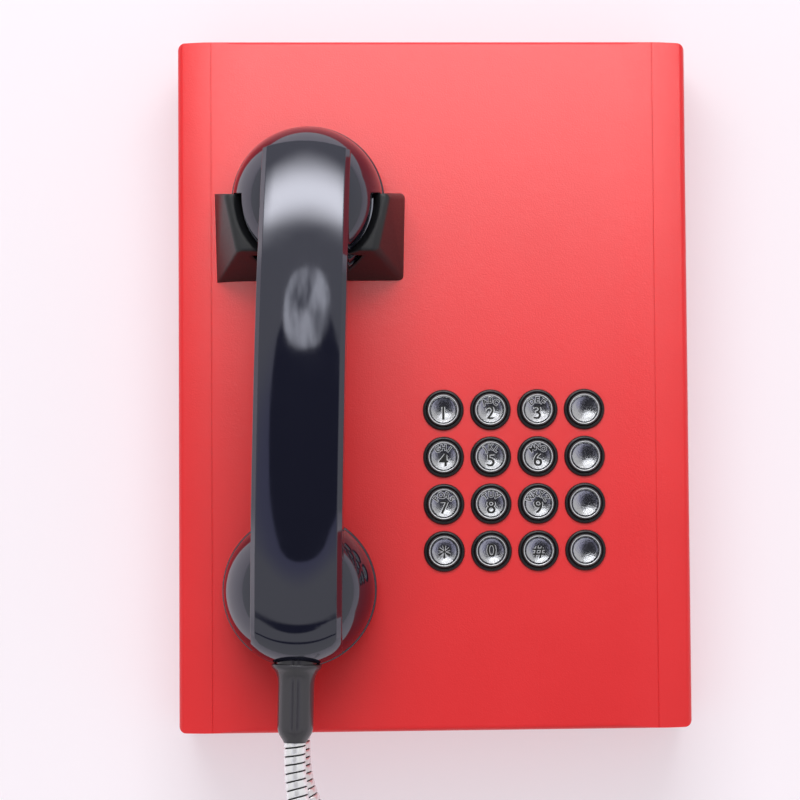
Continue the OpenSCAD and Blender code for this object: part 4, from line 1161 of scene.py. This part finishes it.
# %% Studio
tilt, reach = math.radians(42.7), 0.9
softbox_place = Vector((-0.06, -0.08 - reach * math.cos(tilt), 0.04 + reach * math.sin(tilt)))
soft_card("softbox", softbox_place, (1.1, 0.6), (1, 1, 1, 1), 8, (0.35, 0.95), 0)
dim_front = soft_card("dim_front", Vector((-0.07, -1.32, -0.24)), (1.7, 1.3), (1, 1, 1.5, 1), 0.36, 0.5, 2)
dark_card = soft_card("dark_card", Vector((-0.04, -1.14, -0.08)), (0.76, 0.87), (0.02, 0.02, 0.025, 1), 1,
                      0.06, 2.6)
glint = soft_card("glint", Vector((-0.04, -1.12, 0.285)), (0.5, 0.25), (0.95, 0.97, 1, 1), 2.4, 0.12, 2.4)
floor_gap = soft_card("floor_gap", Vector((-0.05, -0.46, -0.57)), (1.6, 0.075), (0.03, 0.03, 0.06, 1), 1,
                      (0.1, 0.5), 0, Vector((-0.05, -0.1, -0.1)))
reflected = (dim_front, dark_card, glint, floor_gap)
for card in reflected:
    card.visible_diffuse = False
print("cards for reflections:", [card.name for card in reflected])

# %% Patchy glint
tree = glint.active_material.node_tree
noise, ramp = tree.nodes.new("ShaderNodeTexNoise"), tree.nodes.new("ShaderNodeMapRange")
where = tree.nodes.new("ShaderNodeTexCoord")
set_inputs(noise, {"Scale": 7, "Detail": 5})
set_inputs(ramp, {"From Min": 0.38, "From Max": 0.6, "To Min": 0.5, "To Max": 3.2})
tree.links.new(where.outputs["Object"], noise.inputs["Vector"])
tree.links.new(noise.outputs["Fac"], ramp.inputs["Value"])
tree.links.new(ramp.outputs["Result"], tree.nodes["Emission"].inputs["Strength"])
print("glint nodes:", len(tree.nodes))

# %% [markdown]
# ## The cover's own lamp
# Powder coat holds a wide soft shine that fades down the front. A brighter softbox would give it too, but
# would also flood the handset. So a long low lamp is linked to the cover alone, and the polished pieces
# don't mirror it.

# %% Cover lamp
haze_data = bpy.data.lights.new("haze", "AREA")
haze_data.shape, haze_data.size, haze_data.size_y, haze_data.energy = "RECTANGLE", 1.5, 0.15, 7.2
haze = bpy.data.objects.new("haze", haze_data)
bpy.context.scene.collection.objects.link(haze)
haze.location = Vector((0.06, -0.75, 0.3))
haze.rotation_euler = (Vector((0, -0.05, 0.05)) - haze.location).to_track_quat("-Z", "Y").to_euler()
haze.visible_diffuse = haze.visible_camera = False
on_cover = bpy.data.collections.new("on_cover")
on_cover.objects.link(cover)
haze.light_linking.receiver_collection = on_cover

# %% Plain colours
scene = bpy.context.scene
scene.view_settings.view_transform = "Standard"
scene.view_settings.look = "None"
